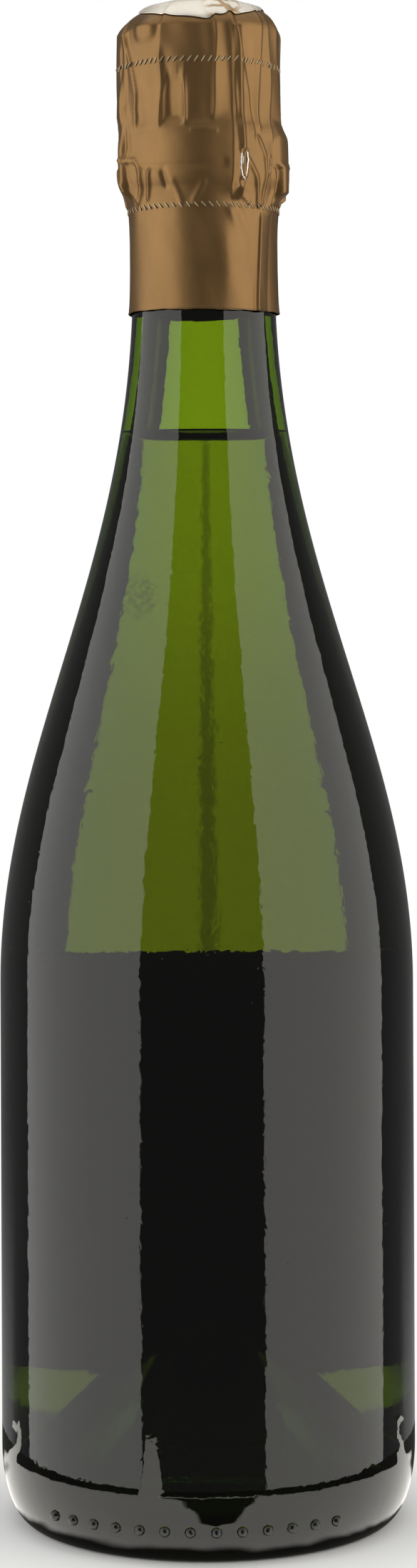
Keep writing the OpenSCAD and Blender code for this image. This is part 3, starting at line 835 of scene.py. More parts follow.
@finish("bottle_green_glass")
def glass_material(nodes):
    """Green glass with faint waves, a few seeds and one smudge on its front."""
    look = bpy.context.scene.glass_look
    where, x, y, z = nodes.place()
    waves = nodes.noise(nodes.stretched(where, (1.0, 1.0, 0.45)), 70, 1.0, 0.4)
    seeds = nodes.cells(where, 260, "Distance")
    specks = nodes.ease(seeds, 0.05, 0.03) * 0.25
    peel = nodes.noise(nodes.stretched(where, (1.0, 1.0, 0.7)), 520, 2.0)
    spot = nodes.ease(((x + 0.0132) * 230) ** 2 + ((z - 0.1965) * 170) ** 2, 1.0, 0.2)
    smeared = spot * nodes.ease(y, 0, -0.01)
    smudge = smeared * nodes.ease(nodes.noise(where, 640, 4.0, 0.7), 0.4, 0.68)
    surface = nodes.coated(
        Base_Color=nodes.blend(smudge * 0.7, look.tint, SMUDGE),
        Roughness=0.0, IOR=1.52, Transmission_Weight=1.0,
        Normal=nodes.bump(waves + specks + peel * 0.45, look.waviness))
    return surface, nodes.absorbing(look.depth_tint, look.depth)


@finish("still_sparkling_wine")
def wine_material(nodes):
    """Clear pale gold wine."""
    look = bpy.context.scene.wine_look
    where, *_ = nodes.place()
    surface = nodes.coated(
        Base_Color=CLEAR_WINE, Roughness=0.0, IOR=1.34, Transmission_Weight=1.0,
        Normal=nodes.bump(nodes.noise(where, 90, 1.0), 0.000004))
    return surface, nodes.absorbing(look.tint, look.depth)


@finish("label_paper")
def paper_material(nodes):
    """Bare paper with a wide and a thin line along its edge, on its outer side."""
    look = bpy.context.scene.label_look
    where, x, y, z = nodes.place()
    fibres = nodes.noise(nodes.stretched(where, (1.0, 1.0, 3.0)), 900, 4.0, 0.65)
    clouds = nodes.noise(where, 45, 3.0)
    paper = nodes.tinted(look.paper, clouds * 0.16 + fibres * 0.2 + 0.82)
    across = abs(nodes.sum("ARCTAN2", x, y)) * (BODY_R * MM)
    up = abs(z - (LABEL_Z + LABEL_H / 2) * MM)
    edge = nodes.sum("MINIMUM", LABEL_W / 2 * MM - across, LABEL_H / 2 * MM - up)
    wide = nodes.ease(abs(edge - 0.0045), 0.0005, 0.0004)
    thin = nodes.ease(abs(edge - 0.0062), 0.00022, 0.00014)
    outside = nodes.ease(x * x + y * y, ((BODY_R + 0.09) * MM) ** 2, ((BODY_R + 0.12) * MM) ** 2)
    line = nodes.sum("MAXIMUM", wide, thin) * outside
    worn = nodes.ease(edge, 0.0, 0.0006) * 0.25 + 0.75
    return nodes.coated(
        Base_Color=nodes.tinted(nodes.blend(line, paper, look.line), worn),
        Metallic=line * 0.7, Roughness=0.78 - line * 0.4,
        Normal=nodes.bump(fibres * 0.5 + line * 0.9, 0.00003))


def foil_colours(nodes, base, where):
    """Shared finish of the foil: its colour, roughness and relief."""
    clouds = nodes.noise(where, 55, 3.0, 0.6)
    grain = nodes.noise(where, 3800, 2.0, 0.6)
    scratches = nodes.noise(nodes.stretched(where, (1.0, 1.0, 0.08)), 1500, 3.0, 0.6)
    crumple = nodes.noise(where, 330, 2.0, 0.5, 0.6)
    mottled = nodes.noise(nodes.stretched(where, (1.0, 1.0, 0.45)), 210, 3.0, 0.55)
    tint = nodes.tinted(base, clouds * 0.24 + mottled * 0.34 + grain * 0.14 + 0.64)
    rough = clouds * 0.14 + grain * 0.14 + scratches * 0.08 + 0.24
    height = crumple * 0.55 + grain * 0.05 + scratches * 0.05
    return tint, rough, height


@finish("bronze_foil")
def foil_material(nodes):
    """Bronze foil: stained low down, with painted shade on its lower edge, painted highlights where it is
    worn bright on its creases, and one long drape.
    """
    look = bpy.context.scene.foil_look
    where, x, y, z = nodes.place()
    tint, rough, height = foil_colours(nodes, look.bronze, where)
    # Painted shade: the foil is darkened at its lower cut edge
    edge = nodes.ease(z, (FOIL_LOW + 0.3) * MM, (FOIL_LOW + 0.12) * MM)
    spots = nodes.ease(nodes.cells(where, 240, "Distance"), 0.09, 0.05)
    patch = nodes.ease(nodes.noise(where, 120, 1.0), 0.56, 0.62)
    low = nodes.ease(z, LOWER_ROW * MM, (LOWER_ROW - 4) * MM)
    marked = nodes.blend(spots * patch * low * 0.7, tint, STAIN)
    # Painted highlight on worn foil: the worn creases are painted near white
    rubbed_highlight = nodes.add("ShaderNodeAttribute", {"attribute_name": "worn"}, out="Fac")
    worn = nodes.ease(rubbed_highlight * (nodes.noise(where, 900, 3.0, 0.7) * 1.3 + 0.3), 0.35, 0.85)
    bright = nodes.blend(worn, nodes.blend(edge * 0.8, marked, LOWER_EDGE_SHADE), WORN_HIGHLIGHT)
    across = nodes.bearing(x, y) * 0.0163
    drape = nodes.ease(abs(across - 0.0034 - (0.276 - z) * 0.32), 0.0065, 0)
    drape = drape * nodes.ease(z, 0.242, 0.25) * nodes.ease(z, 0.2795, 0.272)
    return nodes.coated(
        Base_Color=bright, Metallic=0.93, Roughness=rough,
        Normal=nodes.bump(height + drape * 10, 0.00006))


@finish("pale_foil")
def pale_foil_material(nodes):
    """Pale foil of the disc on top, with gold flakes in a strip across its middle."""
    look = bpy.context.scene.foil_look
    where, x, y, _ = nodes.place()
    tint, rough, height = foil_colours(nodes, look.pale, where)
    cracks = nodes.cells(
        nodes.stretched(where, (1.0, 1.6, 1.0)), 230, "Distance", feature="DISTANCE_TO_EDGE")
    slant = x + y * 0.3
    strip = nodes.ease(slant, -0.005, -0.002) * nodes.ease(slant, 0.005, 0.002)
    flakes = nodes.ease(cracks, 0.16, 0.05) * strip
    return nodes.coated(
        Base_Color=nodes.blend(flakes * 0.85, tint, GOLD_FLAKE), Metallic=1.0, Roughness=rough + 0.08,
        Normal=nodes.bump(height + flakes * 2.4, 0.00009))


@finish("foil_cut")
def cut_shade_material(nodes):
    """Painted shade for the dark inside of a cut, mottled."""
    where, *_ = nodes.place()
    shade_mottle = nodes.noise(where, 1800, 2.0)
    return nodes.coated(
        Base_Color=nodes.tinted(CUT_SHADE, shade_mottle + 0.5), Roughness=0.7, Metallic=0.3,
        Normal=nodes.bump(shade_mottle, 0.00002))


@finish("foil_cut_rim")
def cut_rim_material(nodes):
    """The bright rim of a cut."""
    look = bpy.context.scene.foil_look
    where, *_ = nodes.place()
    tint, rough, height = foil_colours(nodes, CUT_RIM, where)
    return nodes.coated(
        Base_Color=tint, Roughness=rough + 0.08, Metallic=1.0,
        Normal=nodes.bump(height, 0.00003 * look.fold_depth))


@finish("agglomerate_cork")
def granule_material(nodes):
    """Cork pressed from grains, each of its own shade, with seams and pits."""
    look = bpy.context.scene.cork_look
    where, *_ = nodes.place()
    bent = nodes.noise(where, 500, 2.0)
    moved = nodes.add("ShaderNodeVectorMath", {"operation": "MULTIPLY_ADD"}, {
        0: nodes.add("ShaderNodeCombineXYZ", inputs={0: bent, 1: bent, 2: bent}),
        1: (0.0007, 0.0007, 0.0007), 2: where,
    })
    shade = nodes.add("ShaderNodeSeparateColor", inputs={0: nodes.cells(moved, 420)})
    seam = nodes.ease(nodes.cells(moved, 420, "Distance", feature="DISTANCE_TO_EDGE"), 0.0, 0.055)
    pits = nodes.ease(nodes.cells(where, 900, "Distance"), 0.22, 0.12)
    pits = pits * nodes.ease(nodes.noise(where, 260, 2.0), 0.48, 0.6)
    fine = nodes.noise(where, 2600, 3.0, 0.6)
    grain = nodes.blend(shade * 0.5 + fine * 0.5, look.dark, look.pale)
    return nodes.coated(
        Base_Color=nodes.tinted(grain, seam * 0.3 + fine * 0.3 + 0.55 - pits * 0.45),
        Roughness=0.92 - seam * 0.1,
        Normal=nodes.bump(seam * 0.5 + fine * 0.4 - pits * 0.6, 0.00018))


@finish("natural_cork")
def natural_cork_material(nodes):
    """Natural cork with its year rings and pores."""
    look = bpy.context.scene.cork_look
    where, *_ = nodes.place()
    rings = nodes.noise(nodes.stretched(where, (0.35, 1.0, 0.35)), 420, 4.0, 0.6)
    pores = nodes.ease(nodes.cells(nodes.stretched(where, (1.0, 0.5, 0.5)), 330, "Distance"), 0.3, 0.1)
    holes = pores * nodes.ease(nodes.noise(where, 160, 2.0), 0.5, 0.62)
    fine = nodes.noise(where, 3200, 3.0)
    base = nodes.tinted(nodes.blend(rings, look.dark, look.pale), fine * 0.3 + 0.85)
    return nodes.coated(
        Base_Color=nodes.blend(holes, base, CORK_PORE), Roughness=0.85 + fine * 0.1,
        Normal=nodes.bump(1 - holes + fine * 0.3 + rings * 0.3, 0.0003))


@finish("cap_enamel")
def enamel_material(nodes):
    """Gold paint of the cap, paler on its raised ring and worn to bare metal at its edge."""
    look = bpy.context.scene.cage_look
    where, x, y, _ = nodes.place()
    r = (x * x + y * y) ** 0.5
    clouds = nodes.noise(where, 160, 3.0)
    fine = nodes.noise(where, 2600, 2.0)
    rim = nodes.ease(abs(r - (BOSS_R - 0.7) * MM), 0.0005, 0.0003)
    bare = nodes.ease(r, 0.0128, 0.0131) * nodes.ease(fine, 0.35, 0.6)
    paint = nodes.tinted(nodes.blend(rim, look.enamel, PALE_PAINT), clouds * 0.12 + 0.92)
    return nodes.coated(
        Base_Color=nodes.blend(bare, paint, BARE_METAL), Metallic=bare * 0.6 + 0.35,
        Roughness=fine * 0.06 + 0.24, Coat_Weight=0.4, Coat_Roughness=0.15,
        Normal=nodes.bump(fine * 0.06 + clouds * 0.5, 0.00003))


@finish("galvanised_wire")
def wire_material(nodes):
    """Galvanised wire, drawn lengthwise and dull in places."""
    look = bpy.context.scene.cage_look
    where, *_ = nodes.place()
    spangle = nodes.noise(where, 1400, 3.0, 0.7)
    drawn = nodes.noise(nodes.stretched(where, (1.0, 1.0, 0.15)), 2600, 2.0)
    dull = nodes.ease(nodes.noise(where, 240, 2.0), 0.45, 0.7)
    base = nodes.blend(dull * 0.6, look.steel, DULL_WIRE)
    return nodes.coated(
        Base_Color=nodes.tinted(base, spangle * 0.3 + 0.82), Metallic=1.0,
        Roughness=spangle * 0.14 + dull * 0.16 + 0.2,
        Normal=nodes.bump(drawn * 0.4 + spangle * 0.5, 0.00003))


# Pieces

class MakeGlass(bpy.types.Operator):
    """Makes the glass with its punt, heel, shoulder, collar ring and lip"""
    bl_idname = "bottle.make_glass"
    bl_label = "Glass"

    def execute(self, context):
        glass = turned("glass", GLASS, glass_material())
        done(glass, "bottle", "green_glass", "glass_bottle")
        return {"FINISHED"}


class MakeHeelDots(bpy.types.Operator):
    """Makes the plain row of raised dots on the heel"""
    bl_idname = "bottle.make_heel_dots"
    bl_label = "Heel dots"

    def execute(self, context):
        count = context.scene.glass_look.dot_count
        turns = FIRST_DOT + np.arange(count) * math.degrees(DOT_PITCH / BEARING_R)
        points = polar(turns, np.full(count, glass_r(DOT_Z) - DOT_SUNK), np.full(count, DOT_Z))
        facing = [(0.0, 0.0, math.radians(turn)) for turn in turns]
        dots = modified(
            "heel_dots", points, [], bead_tree(), {"facing": facing},
            Size=(0.0026, 0.0024, 0.0024), Segments=16, Rings=10, Material=glass_material())
        done(dots, "bottle", "green_glass")
        return {"FINISHED"}


class MakeWine(bpy.types.Operator):
    """Makes the wine, with its edge drawn up the glass"""
    bl_idname = "bottle.make_wine"
    bl_label = "Wine"

    def execute(self, context):
        rise = context.scene.wine_look.meniscus / MM
        level = FILL_Z - LEVEL_DROP
        wall = np.array([p for p in finer(CAVITY, 0.75) if p[1] < level + rise])
        step = np.gradient(wall, axis=0)
        step /= np.linalg.norm(step, axis=1, keepdims=True)
        wetted = wall + WINE_GAP * np.stack([-step[:, 1], step[:, 0]], 1)
        wetted[-1, 0] = 0.0
        reach = wetted[0, 0]
        r = np.concatenate([np.linspace(0, reach - 6, 8), np.linspace(reach - 5.8, reach, 40)])
        top = np.stack([r, level + rise * np.exp((r - reach) / 1.9)], 1)
        wine = turned("wine_fill", joined(top, wetted), wine_material(), 192)
        done(wine, "bottle", "wine", "wine")
        return {"FINISHED"}


class MakeLabel(bpy.types.Operator):
    """Makes the blank paper label on the far side"""
    bl_idname = "bottle.make_label"
    bl_label = "Label"

    def execute(self, context):
        half = math.degrees(LABEL_W / BODY_R) / 2
        columns, rows = 120, 40
        turns = np.linspace(90 - half, 90 + half, columns)
        heights = np.linspace(LABEL_Z, LABEL_Z + LABEL_H, rows)
        t, z = np.meshgrid(turns, heights)
        points = np.vstack([polar(t, BODY_R + gap, z).reshape(-1, 3) for gap in LABEL_GAPS])
        size = columns * rows
        faces = []
        for i in range(rows - 1):
            for j in range(columns - 1):
                a = i * columns + j
                quad = (a, a + 1, a + columns + 1, a + columns)
                faces += [quad, tuple(k + size for k in reversed(quad))]
        rim = (
            list(range(columns)) + [i * columns + columns - 1 for i in range(1, rows)]
            + [(rows - 1) * columns + j for j in range(columns - 2, -1, -1)]
            + [i * columns for i in range(rows - 2, 0, -1)]
        )
        faces += [(a, a + size, b + size, b) for a, b in zip(rim, rim[1:] + rim[:1])]
        label = mesh_object("blank_label", points, faces, paper_material(), 40)
        done(label, "bottle", "label_paper", "front_label")
        return {"FINISHED"}


class MakeSleeve(bpy.types.Operator):
    """Makes the smooth lower sleeve of the foil"""
    bl_idname = "bottle.make_sleeve"
    bl_label = "Foil sleeve"

    def execute(self, context):
        heights = np.concatenate([
            FOIL_LOW + np.array([0, 0.1, 0.25]),
            np.linspace(FOIL_LOW + 0.6, LOWER_ROW - 0.15, 50),
            [LOWER_ROW],
        ])
        z, t = np.meshgrid(heights, ROUND, indexing="ij")
        base = table(
            z, (FOIL_LOW, 16.32), (257.8, 16.22), (259.5, 16.08), (262, 15.98), (267, 15.88),
            (273, 15.88), (276.5, 15.96), (278.3, 16.06), (LOWER_ROW, 16.2))
        top = table(z, (270, 0), (276, 0.7), (LOWER_ROW - 1, 1), (LOWER_ROW, 0))
        dents = 0.16 * wave(t * 9 + 40 * wave(t * 2)) * top
        ripple = 0.05 * wave(t * 3 + z * 6) * table(z, (FOIL_LOW, 1), (275, 1), (279, 0))

        # The sheet overlaps along a slanting seam, which rises to its edge and settles past it
        whole = table(z, (FOIL_LOW, 1), (277, 0.8), (LOWER_ROW, 0))
        past = apart(t, -43.6 + 0.25 * (z - 265))
        seam = np.where(past < 0, 1.25 * bell(past, 1.2), 1.25 - past / 7)
        seam = np.where(past > 14, np.minimum(-0.75 + (past - 14) / 28, 0), seam) * 0.5 * whole
        seam += 0.14 * bell(apart(t, -71 + 0.4 * (z - 268)), 7) * whole
        ridge = bell(apart(t, -66) + 1.6 * (z - 276), 3.4)
        furrow = bell(apart(t, -57) + 1.9 * (z - 276), 3.6)
        drawn = 0.3 * top * (ridge - furrow)

        cut = 0.2 * wave(t * 2 + 50) + 0.06 * wave(t * 11) + 0.03 * wave(t * 29)
        z = z + cut * table(z, (FOIL_LOW, 1), (262, 0))
        sleeve = foil_band("lower_sleeve", base + dents + ripple + seam + drawn, z)
        done(sleeve, "bottle", "gold_foil", "foil_sleeve")
        return {"FINISHED"}


class MakeTearBand(bpy.types.Operator):
    """Makes the creased band of foil between the two rows of cuts"""
    bl_idname = "bottle.make_tear_band"
    bl_label = "Foil tear band"

    def execute(self, context):
        look = context.scene.foil_look
        heights = np.concatenate([
            [LOWER_ROW],
            np.linspace(LOWER_ROW + 0.4, 299, 44),
            np.linspace(300, UPPER_ROW - 0.6, 10),
            [UPPER_ROW],
        ])
        z, t = np.meshgrid(heights, ROUND, indexing="ij")
        radii = foil_r(t, z, look.fold_depth, look.slack / MM)
        band = foil_band("tear_band", radii, z + row_bow(t, z))
        # The worn creases carry a painted highlight
        worn = band.data.attributes.new("worn", "FLOAT", "POINT")
        at = np.empty(len(band.data.vertices) * 3)
        band.data.vertices.foreach_get("co", at)
        x, y, up = at.reshape(-1, 3).T / MM
        worn.data.foreach_set("value", creases(np.degrees(np.arctan2(y, x)), up, True))
        done(band, "foil", "gold_foil", "foil_tear_band")
        return {"FINISHED"}


def crown_rings(look):
    """Radii and heights of the crown of the foil, from the upper row of cuts to under the disc."""
    z, t = np.meshgrid(np.linspace(UPPER_ROW, HEAD_EDGE_Z, 18), ROUND, indexing="ij")
    radii = [foil_r(t, z, look.fold_depth, look.slack / MM)]
    heights = [z + row_bow(t, z)]
    slack = slack_at(ROUND, look.slack / MM)
    corner = CROWN_R - HEAD_FLAT_R
    rows = 20
    for k, phi in enumerate(np.linspace(4, 58, rows)):
        a = math.radians(phi)
        up = HEAD_EDGE_Z + corner * math.sin(a) * (0.8 + 0.07 * k / (rows - 1))
        keep = 1 - k / (rows + 1)
        lift = folds(ROUND, np.full_like(ROUND, up), look.fold_depth)
        radii.append((HEAD_FLAT_R + corner * math.cos(a) + slack * keep + lift * keep ** 0.3)[None, :])
        heights.append(np.full((1, len(ROUND)), up))
    for r, drop in ((13.15, 0.05), (DISC_R, 0.2), (11.7, 0.2), (CROWN_HOLE_R, 0.2)):
        radii.append(np.full((1, len(ROUND)), r))
        heights.append(np.full((1, len(ROUND)), dish(min(r, DISC_R)) - drop))
    return np.vstack(radii), np.vstack(heights)


def disc_top(r, around, x, y, crown_radii, crown_heights):
    """Height of the disc, which lies in the hollow of the cap and over the edge of the crown."""
    reach, turn = np.hypot(x, y), np.degrees(np.arctan2(y, x)) % 360
    column = (turn / (360 / len(ROUND))).astype(int) % len(ROUND)
    over = np.array([
        [np.interp(-far, -crown_radii[:, c], crown_heights[:, c]) for far, c in zip(*ring)]
        for ring in zip(reach, column)
    ])
    surface = np.where(reach > CROWN_HOLE_R, over, dish(reach))
    surface = surface + 0.22 * table(r, (0, 1), (12.6, 1), (DISC_EDGE_R, 0.55))
    further_in = np.arange(len(r))
    blur = np.array([surface[np.maximum(further_in - k, 0)] for k in range(3)]).mean(0)
    ring = 0.09 * bell(r - 10.6, 0.5)
    waves = np.sin(np.radians(around * 3) + r * 0.7) * np.sin(r * 1.1 + np.radians(around * 2))
    uneven = 1.2 + np.cos(np.radians(around + 60))
    crumple = 0.2 * np.abs(waves) * (table(r, (0, 0.2), (6, 1), (11.5, 0.8), (DISC_EDGE_R, 0)) * uneven)
    return np.maximum(blur, surface) + ring + crumple * 0.5


class MakeCrown(bpy.types.Operator):
    """Makes the pleated crown of the foil and the pale disc on top"""
    bl_idname = "bottle.make_crown"
    bl_label = "Foil crown"

    def execute(self, context):
        radii, heights = crown_rings(context.scene.foil_look)
        crown = foil_band("crown_sleeve", radii, heights)
        done(crown, "foil", "gold_foil", "foil_crown_sleeve")

        rings, columns = 39, 240
        r, around = np.meshgrid(
            np.linspace(0, DISC_EDGE_R, rings + 1)[1:], np.arange(columns) * 360 / columns, indexing="ij")
        x = DISC_CENTRE[0] + r * np.cos(np.radians(around))
        y = DISC_CENTRE[1] + r * np.sin(np.radians(around))
        outer = np.stack([x, y, disc_top(r, around, x, y, radii, heights)], -1).reshape(-1, 3)
        inner = outer - [0, 0, FOIL_T]
        middle = np.array([*DISC_CENTRE, dish(DISC_CENTRE_R) + 0.2])
        points = np.vstack([outer, inner, [middle], [middle - [0, 0, FOIL_T]]])
        size, last = rings * columns, (rings - 1) * columns
        faces = grid_faces(rings, columns)
        faces += [tuple(k + size for k in face) for face in faces]
        for j in range(columns):
            k = (j + 1) % columns
            faces += [(2 * size, j, k), (2 * size + 1, size + k, size + j)]
            faces.append((last + j, last + k, size + last + k, size + last + j))
        disc = mesh_object("top_disc", points, faces, pale_foil_material(), 60)
        done(disc, "foil", "pale_foil", "foil_crown_disc")
        return {"FINISHED"}


class MakeCuts(bpy.types.Operator):
    """Makes the two rows of slanted cuts along which the foil tears"""
    bl_idname = "bottle.make_cuts"
    bl_label = "Rows of cuts"

    def execute(self, context):
        look = context.scene.foil_look
        parts = (
            # The rims are the cut edges; the dark beads inside them are painted shade in the slits
            ("rim", cut_rim_material(), (0.00028, 0.00034, 0.0017), -0.08),
            ("shaded_core", cut_shade_material(), (0.00022, 0.00026, 0.0015), 0.22),
        )
        rows = (
            ("upper", UPPER_ROW, look.upper_cuts, -35),
            ("lower", LOWER_ROW, look.lower_cuts, 38),
        )
        ahead = 0.5
        for row, height, count, slant in rows:
            turns = np.linspace(0, 360, count, endpoint=False)
            turns = turns + 0.5 * wave(turns * 7)
            level = np.full_like(turns, height)
            radii = foil_r(turns, level, look.fold_depth, look.slack / MM)
            next_radii = foil_r(turns + ahead, level, look.fold_depth, look.slack / MM)
            tilt = np.arctan2(next_radii - radii, radii * math.radians(ahead))
            lean = slant + 5 * wave(turns * 11)
            facing = []
            for a, b, c in zip(turns, tilt, lean):
                outwards = Matrix.Rotation(math.radians(a) - b, 4, "Z")
                facing.append(tuple((outwards @ Matrix.Rotation(math.radians(c), 4, "X")).to_euler()))
            for part, material, size, aside in parts:
                points = polar(turns + aside / CUT_ARC, radii + 0.02, level + row_bow(turns, level))
                cuts = modified(
                    f"{row}_cut_{part}s", points, [], bead_tree(), {"facing": facing},
                    Size=size, Segments=8, Rings=6, Material=material)
                done(cuts, "foil", "gold_foil")
        return {"FINISHED"}


class MakeCork(bpy.types.Operator):
    """Makes the pressed cork with its mushroom head, and its two discs of natural cork"""
    bl_idname = "bottle.make_cork"
    bl_label = "Cork"

    def execute(self, context):
        low = CORK_LOW + 2 * CORK_DISC_T
        head = joined(
            (0, low), straight((0.5, low), (SHANK_R, low), 0.7),
            straight((SHANK_R, low), (SHANK_R, HEAD_LOW), 0.8), (HEAD_R - 1.1, HEAD_LOW),
            bezier((HEAD_R - 1.1, HEAD_LOW), (HEAD_R, HEAD_LOW + 1.6),
                   (HEAD_R, HEAD_LOW + 4.7), (HEAD_R, HEAD_LOW + 6.2), 14),
            straight((HEAD_R, HEAD_LOW + 6.2), (HEAD_R, HEAD_EDGE_Z), 0.9),
            arc((HEAD_FLAT_R, HEAD_EDGE_Z), HEAD_EDGE_R, 0, 90, 16),
            straight((HEAD_FLAT_R, HEAD_TOP), (0.5, HEAD_TOP), 0.9), (0, HEAD_TOP),
        )
        cork = turned("pressed_cork", head, granule_material(), 160)
        done(cork, "cork", "agglomerate_cork", "cork_body")
        for name, node, low, edge in (
            ("upper_cork_disc", "cork_disc_upper", CORK_LOW + CORK_DISC_T, 0.15),
            ("lower_cork_disc", "cork_disc_lower", CORK_LOW, 0.8),
        ):
            high = low + CORK_DISC_T
            side = joined(
                (0, low), straight((0.5, low), (SHANK_R - edge, low), 0.8),
                arc((SHANK_R - edge, low + edge), edge, -90, 0, 8),
                straight((SHANK_R, low + edge), (SHANK_R, low + 5.9), 0.8),
                (SHANK_R - 0.1, high), (0.5, high), (0, high),
            )
            disc = turned(name, side, natural_cork_material(), 120)
            done(disc, "cork", "natural_cork", node)
        return {"FINISHED"}


def cap_side(gap):
    """Profile of one side of the cap, the given distance above its underside."""
    low = PLAQUE_LOW + gap
    high = low + BOSS_H
    return joined(
        (0, high), straight((0.4, high), (5.4, high), 0.5),
        bezier((5.4, high), (6.2, high), (6.4, low), (BOSS_R, low), 12),
        straight((BOSS_R, low), (HEAD_FLAT_R, low), 0.4),
        arc((HEAD_FLAT_R, HEAD_EDGE_Z), HEAD_EDGE_R + 0.05 + gap, 90, 44, 14),
    )


class MakeCap(bpy.types.Operator):
    """Makes the painted metal cap on the cork"""
    bl_idname = "bottle.make_cap"
    bl_label = "Cap"

    def execute(self, context):
        over, under = cap_side(0.3), cap_side(0.0)
        bead = bell(over[:, 0] - 4.4, 0.35) * 0.18
        over[:, 1] += bead
        under[:, 1] += bead
        cap = turned("metal_cap", joined(over, under[::-1]), enamel_material(), 144)
        done(cap, "cage", "plaque_metal", "plaque")
        return {"FINISHED"}


def leg_line():
    """Middle line of a leg of the cage as radius and height, from the top ring to its foot."""
    return through(joined(
        TOP_RING,
        arc((HEAD_FLAT_R, HEAD_EDGE_Z), TOP_RING[1] - HEAD_EDGE_Z, 84, 12, 4),
        (LEG_SIDE_R, HEAD_EDGE_Z - HEAD_EDGE_R), (LEG_SIDE_R, GLASS_H), (LEG_SIDE_R + 0.1, 295.8),
        (LEG_COLLAR_R, COLLAR_TOP), (LEG_COLLAR_R, COLLAR_LOW), (BELT[0] + 1.4, BELT[1] - 0.4),
        (BELT[0], BELT[1] - 1.0),
    ), 12)


def strands(line, turn, twist_from, pitch, spread):
    """Two strands of wire that wind round each other along a line of radius and height."""
    line = evenly(line, 150)
    step = np.gradient(line, axis=0)
    step /= np.linalg.norm(step, axis=1, keepdims=True)
    run = np.concatenate([[0], np.cumsum(np.linalg.norm(np.diff(line, axis=0), axis=1))])
    angle = 2 * math.pi * np.maximum(run - twist_from, 0) / pitch
    close = table(run, (run[-1] - spread, 1), (run[-1], 0.15)) * 0.41
    for side in (1, -1):
        u, v = side * close * np.sin(angle), side * close * np.cos(angle)
        yield swung(turn, line[:, 0] - step[:, 1] * u, v, line[:, 1] + step[:, 0] * u)


def ring_line(r, z, steps=160):
    """The points of a level ring."""
    turns = np.linspace(0, 360, steps, endpoint=False)
    return polar(turns, np.full(steps, r), np.full(steps, z))


def wire_piece(name, open_lines, rings, radius, sides, body, node):
    """A piece of round wire along open lines and closed rings of points."""
    points, edges = [], []
    start = 0
    for line, closed in [(ring, True) for ring in rings] + [(line, False) for line in open_lines]:
        count = len(line)
        points.append(line)
        edges += [(start + k, start + (k + 1) % count) for k in range(count if closed else count - 1)]
        start += count
    piece = modified(
        name, np.vstack(points), edges, wire_tree(),
        Radius=radius * MM, Sides=sides, Material=wire_material())
    done(piece, body, "cage_steel", node)


class MakeCage(bpy.types.Operator):
    """Makes the cage: its top ring and its four legs of twisted wire"""
    bl_idname = "bottle.make_cage"
    bl_label = "Cage"

    def execute(self, context):
        pitch = context.scene.cage_look.twist / MM
        legs = [strand for turn in LEG_TURNS for strand in strands(leg_line(), turn, 13, pitch, 3)]
        wire_piece("twisted_cage", legs, [ring_line(*TOP_RING)], WIRE_R, 10, "cage", "cage_wire")
        return {"FINISHED"}


class MakeBelt(bpy.types.Operator):
    """Makes the belt of the cage and the short root of its loop"""
    bl_idname = "bottle.make_belt"
    bl_label = "Belt"

    def execute(self, context):
        steps = 8
        r = np.linspace(BELT[0], LEG_COLLAR_R - 0.62, steps)
        root = [
            swung(LOOP_TURN, r, np.linspace(side * 1.1, side * 0.24, steps), np.full(steps, BELT[1]))
            for side in (1, -1)
        ]
        wire_piece("belt", root, [ring_line(*BELT)], BELT_WIRE_R, 12, "cage", "belt_wire")
        return {"FINISHED"}


class MakeLoop(bpy.types.Operator):
    """Makes the twisted stem and eye that close the cage"""
    bl_idname = "bottle.make_loop"
    bl_label = "Loop"

    def execute(self, context):
        low, high = BELT[1], LOOP_EYE_Z - LOOP_EYE_R
        stem = np.array([(LEG_COLLAR_R, z) for z in np.linspace(low, high, 40)])
        turns = np.radians(np.linspace(-90, 270, 72, endpoint=False))
        around = LOOP_TURN + np.degrees(LOOP_EYE_R * np.cos(turns) / EYE_LINE_R)
        lean = table(LOOP_EYE_R * np.sin(turns), (-LOOP_EYE_R, LEG_COLLAR_R), (-1.5, EYE_LINE_R))
        eye = polar(around, lean, LOOP_EYE_Z + LOOP_EYE_R * np.sin(turns))
        across = np.linspace(-KNUCKLE_HALF, KNUCKLE_HALF, 6)
        knuckle = swung(LOOP_TURN, LEG_COLLAR_R, across, np.full(6, low))
        lines = [*strands(stem, LOOP_TURN, 0, 4.2, 0.4), knuckle]
        wire_piece("closing_loop", lines, [eye], WIRE_R, 12, "loop", "twist_loop")
        return {"FINISHED"}


# Stage

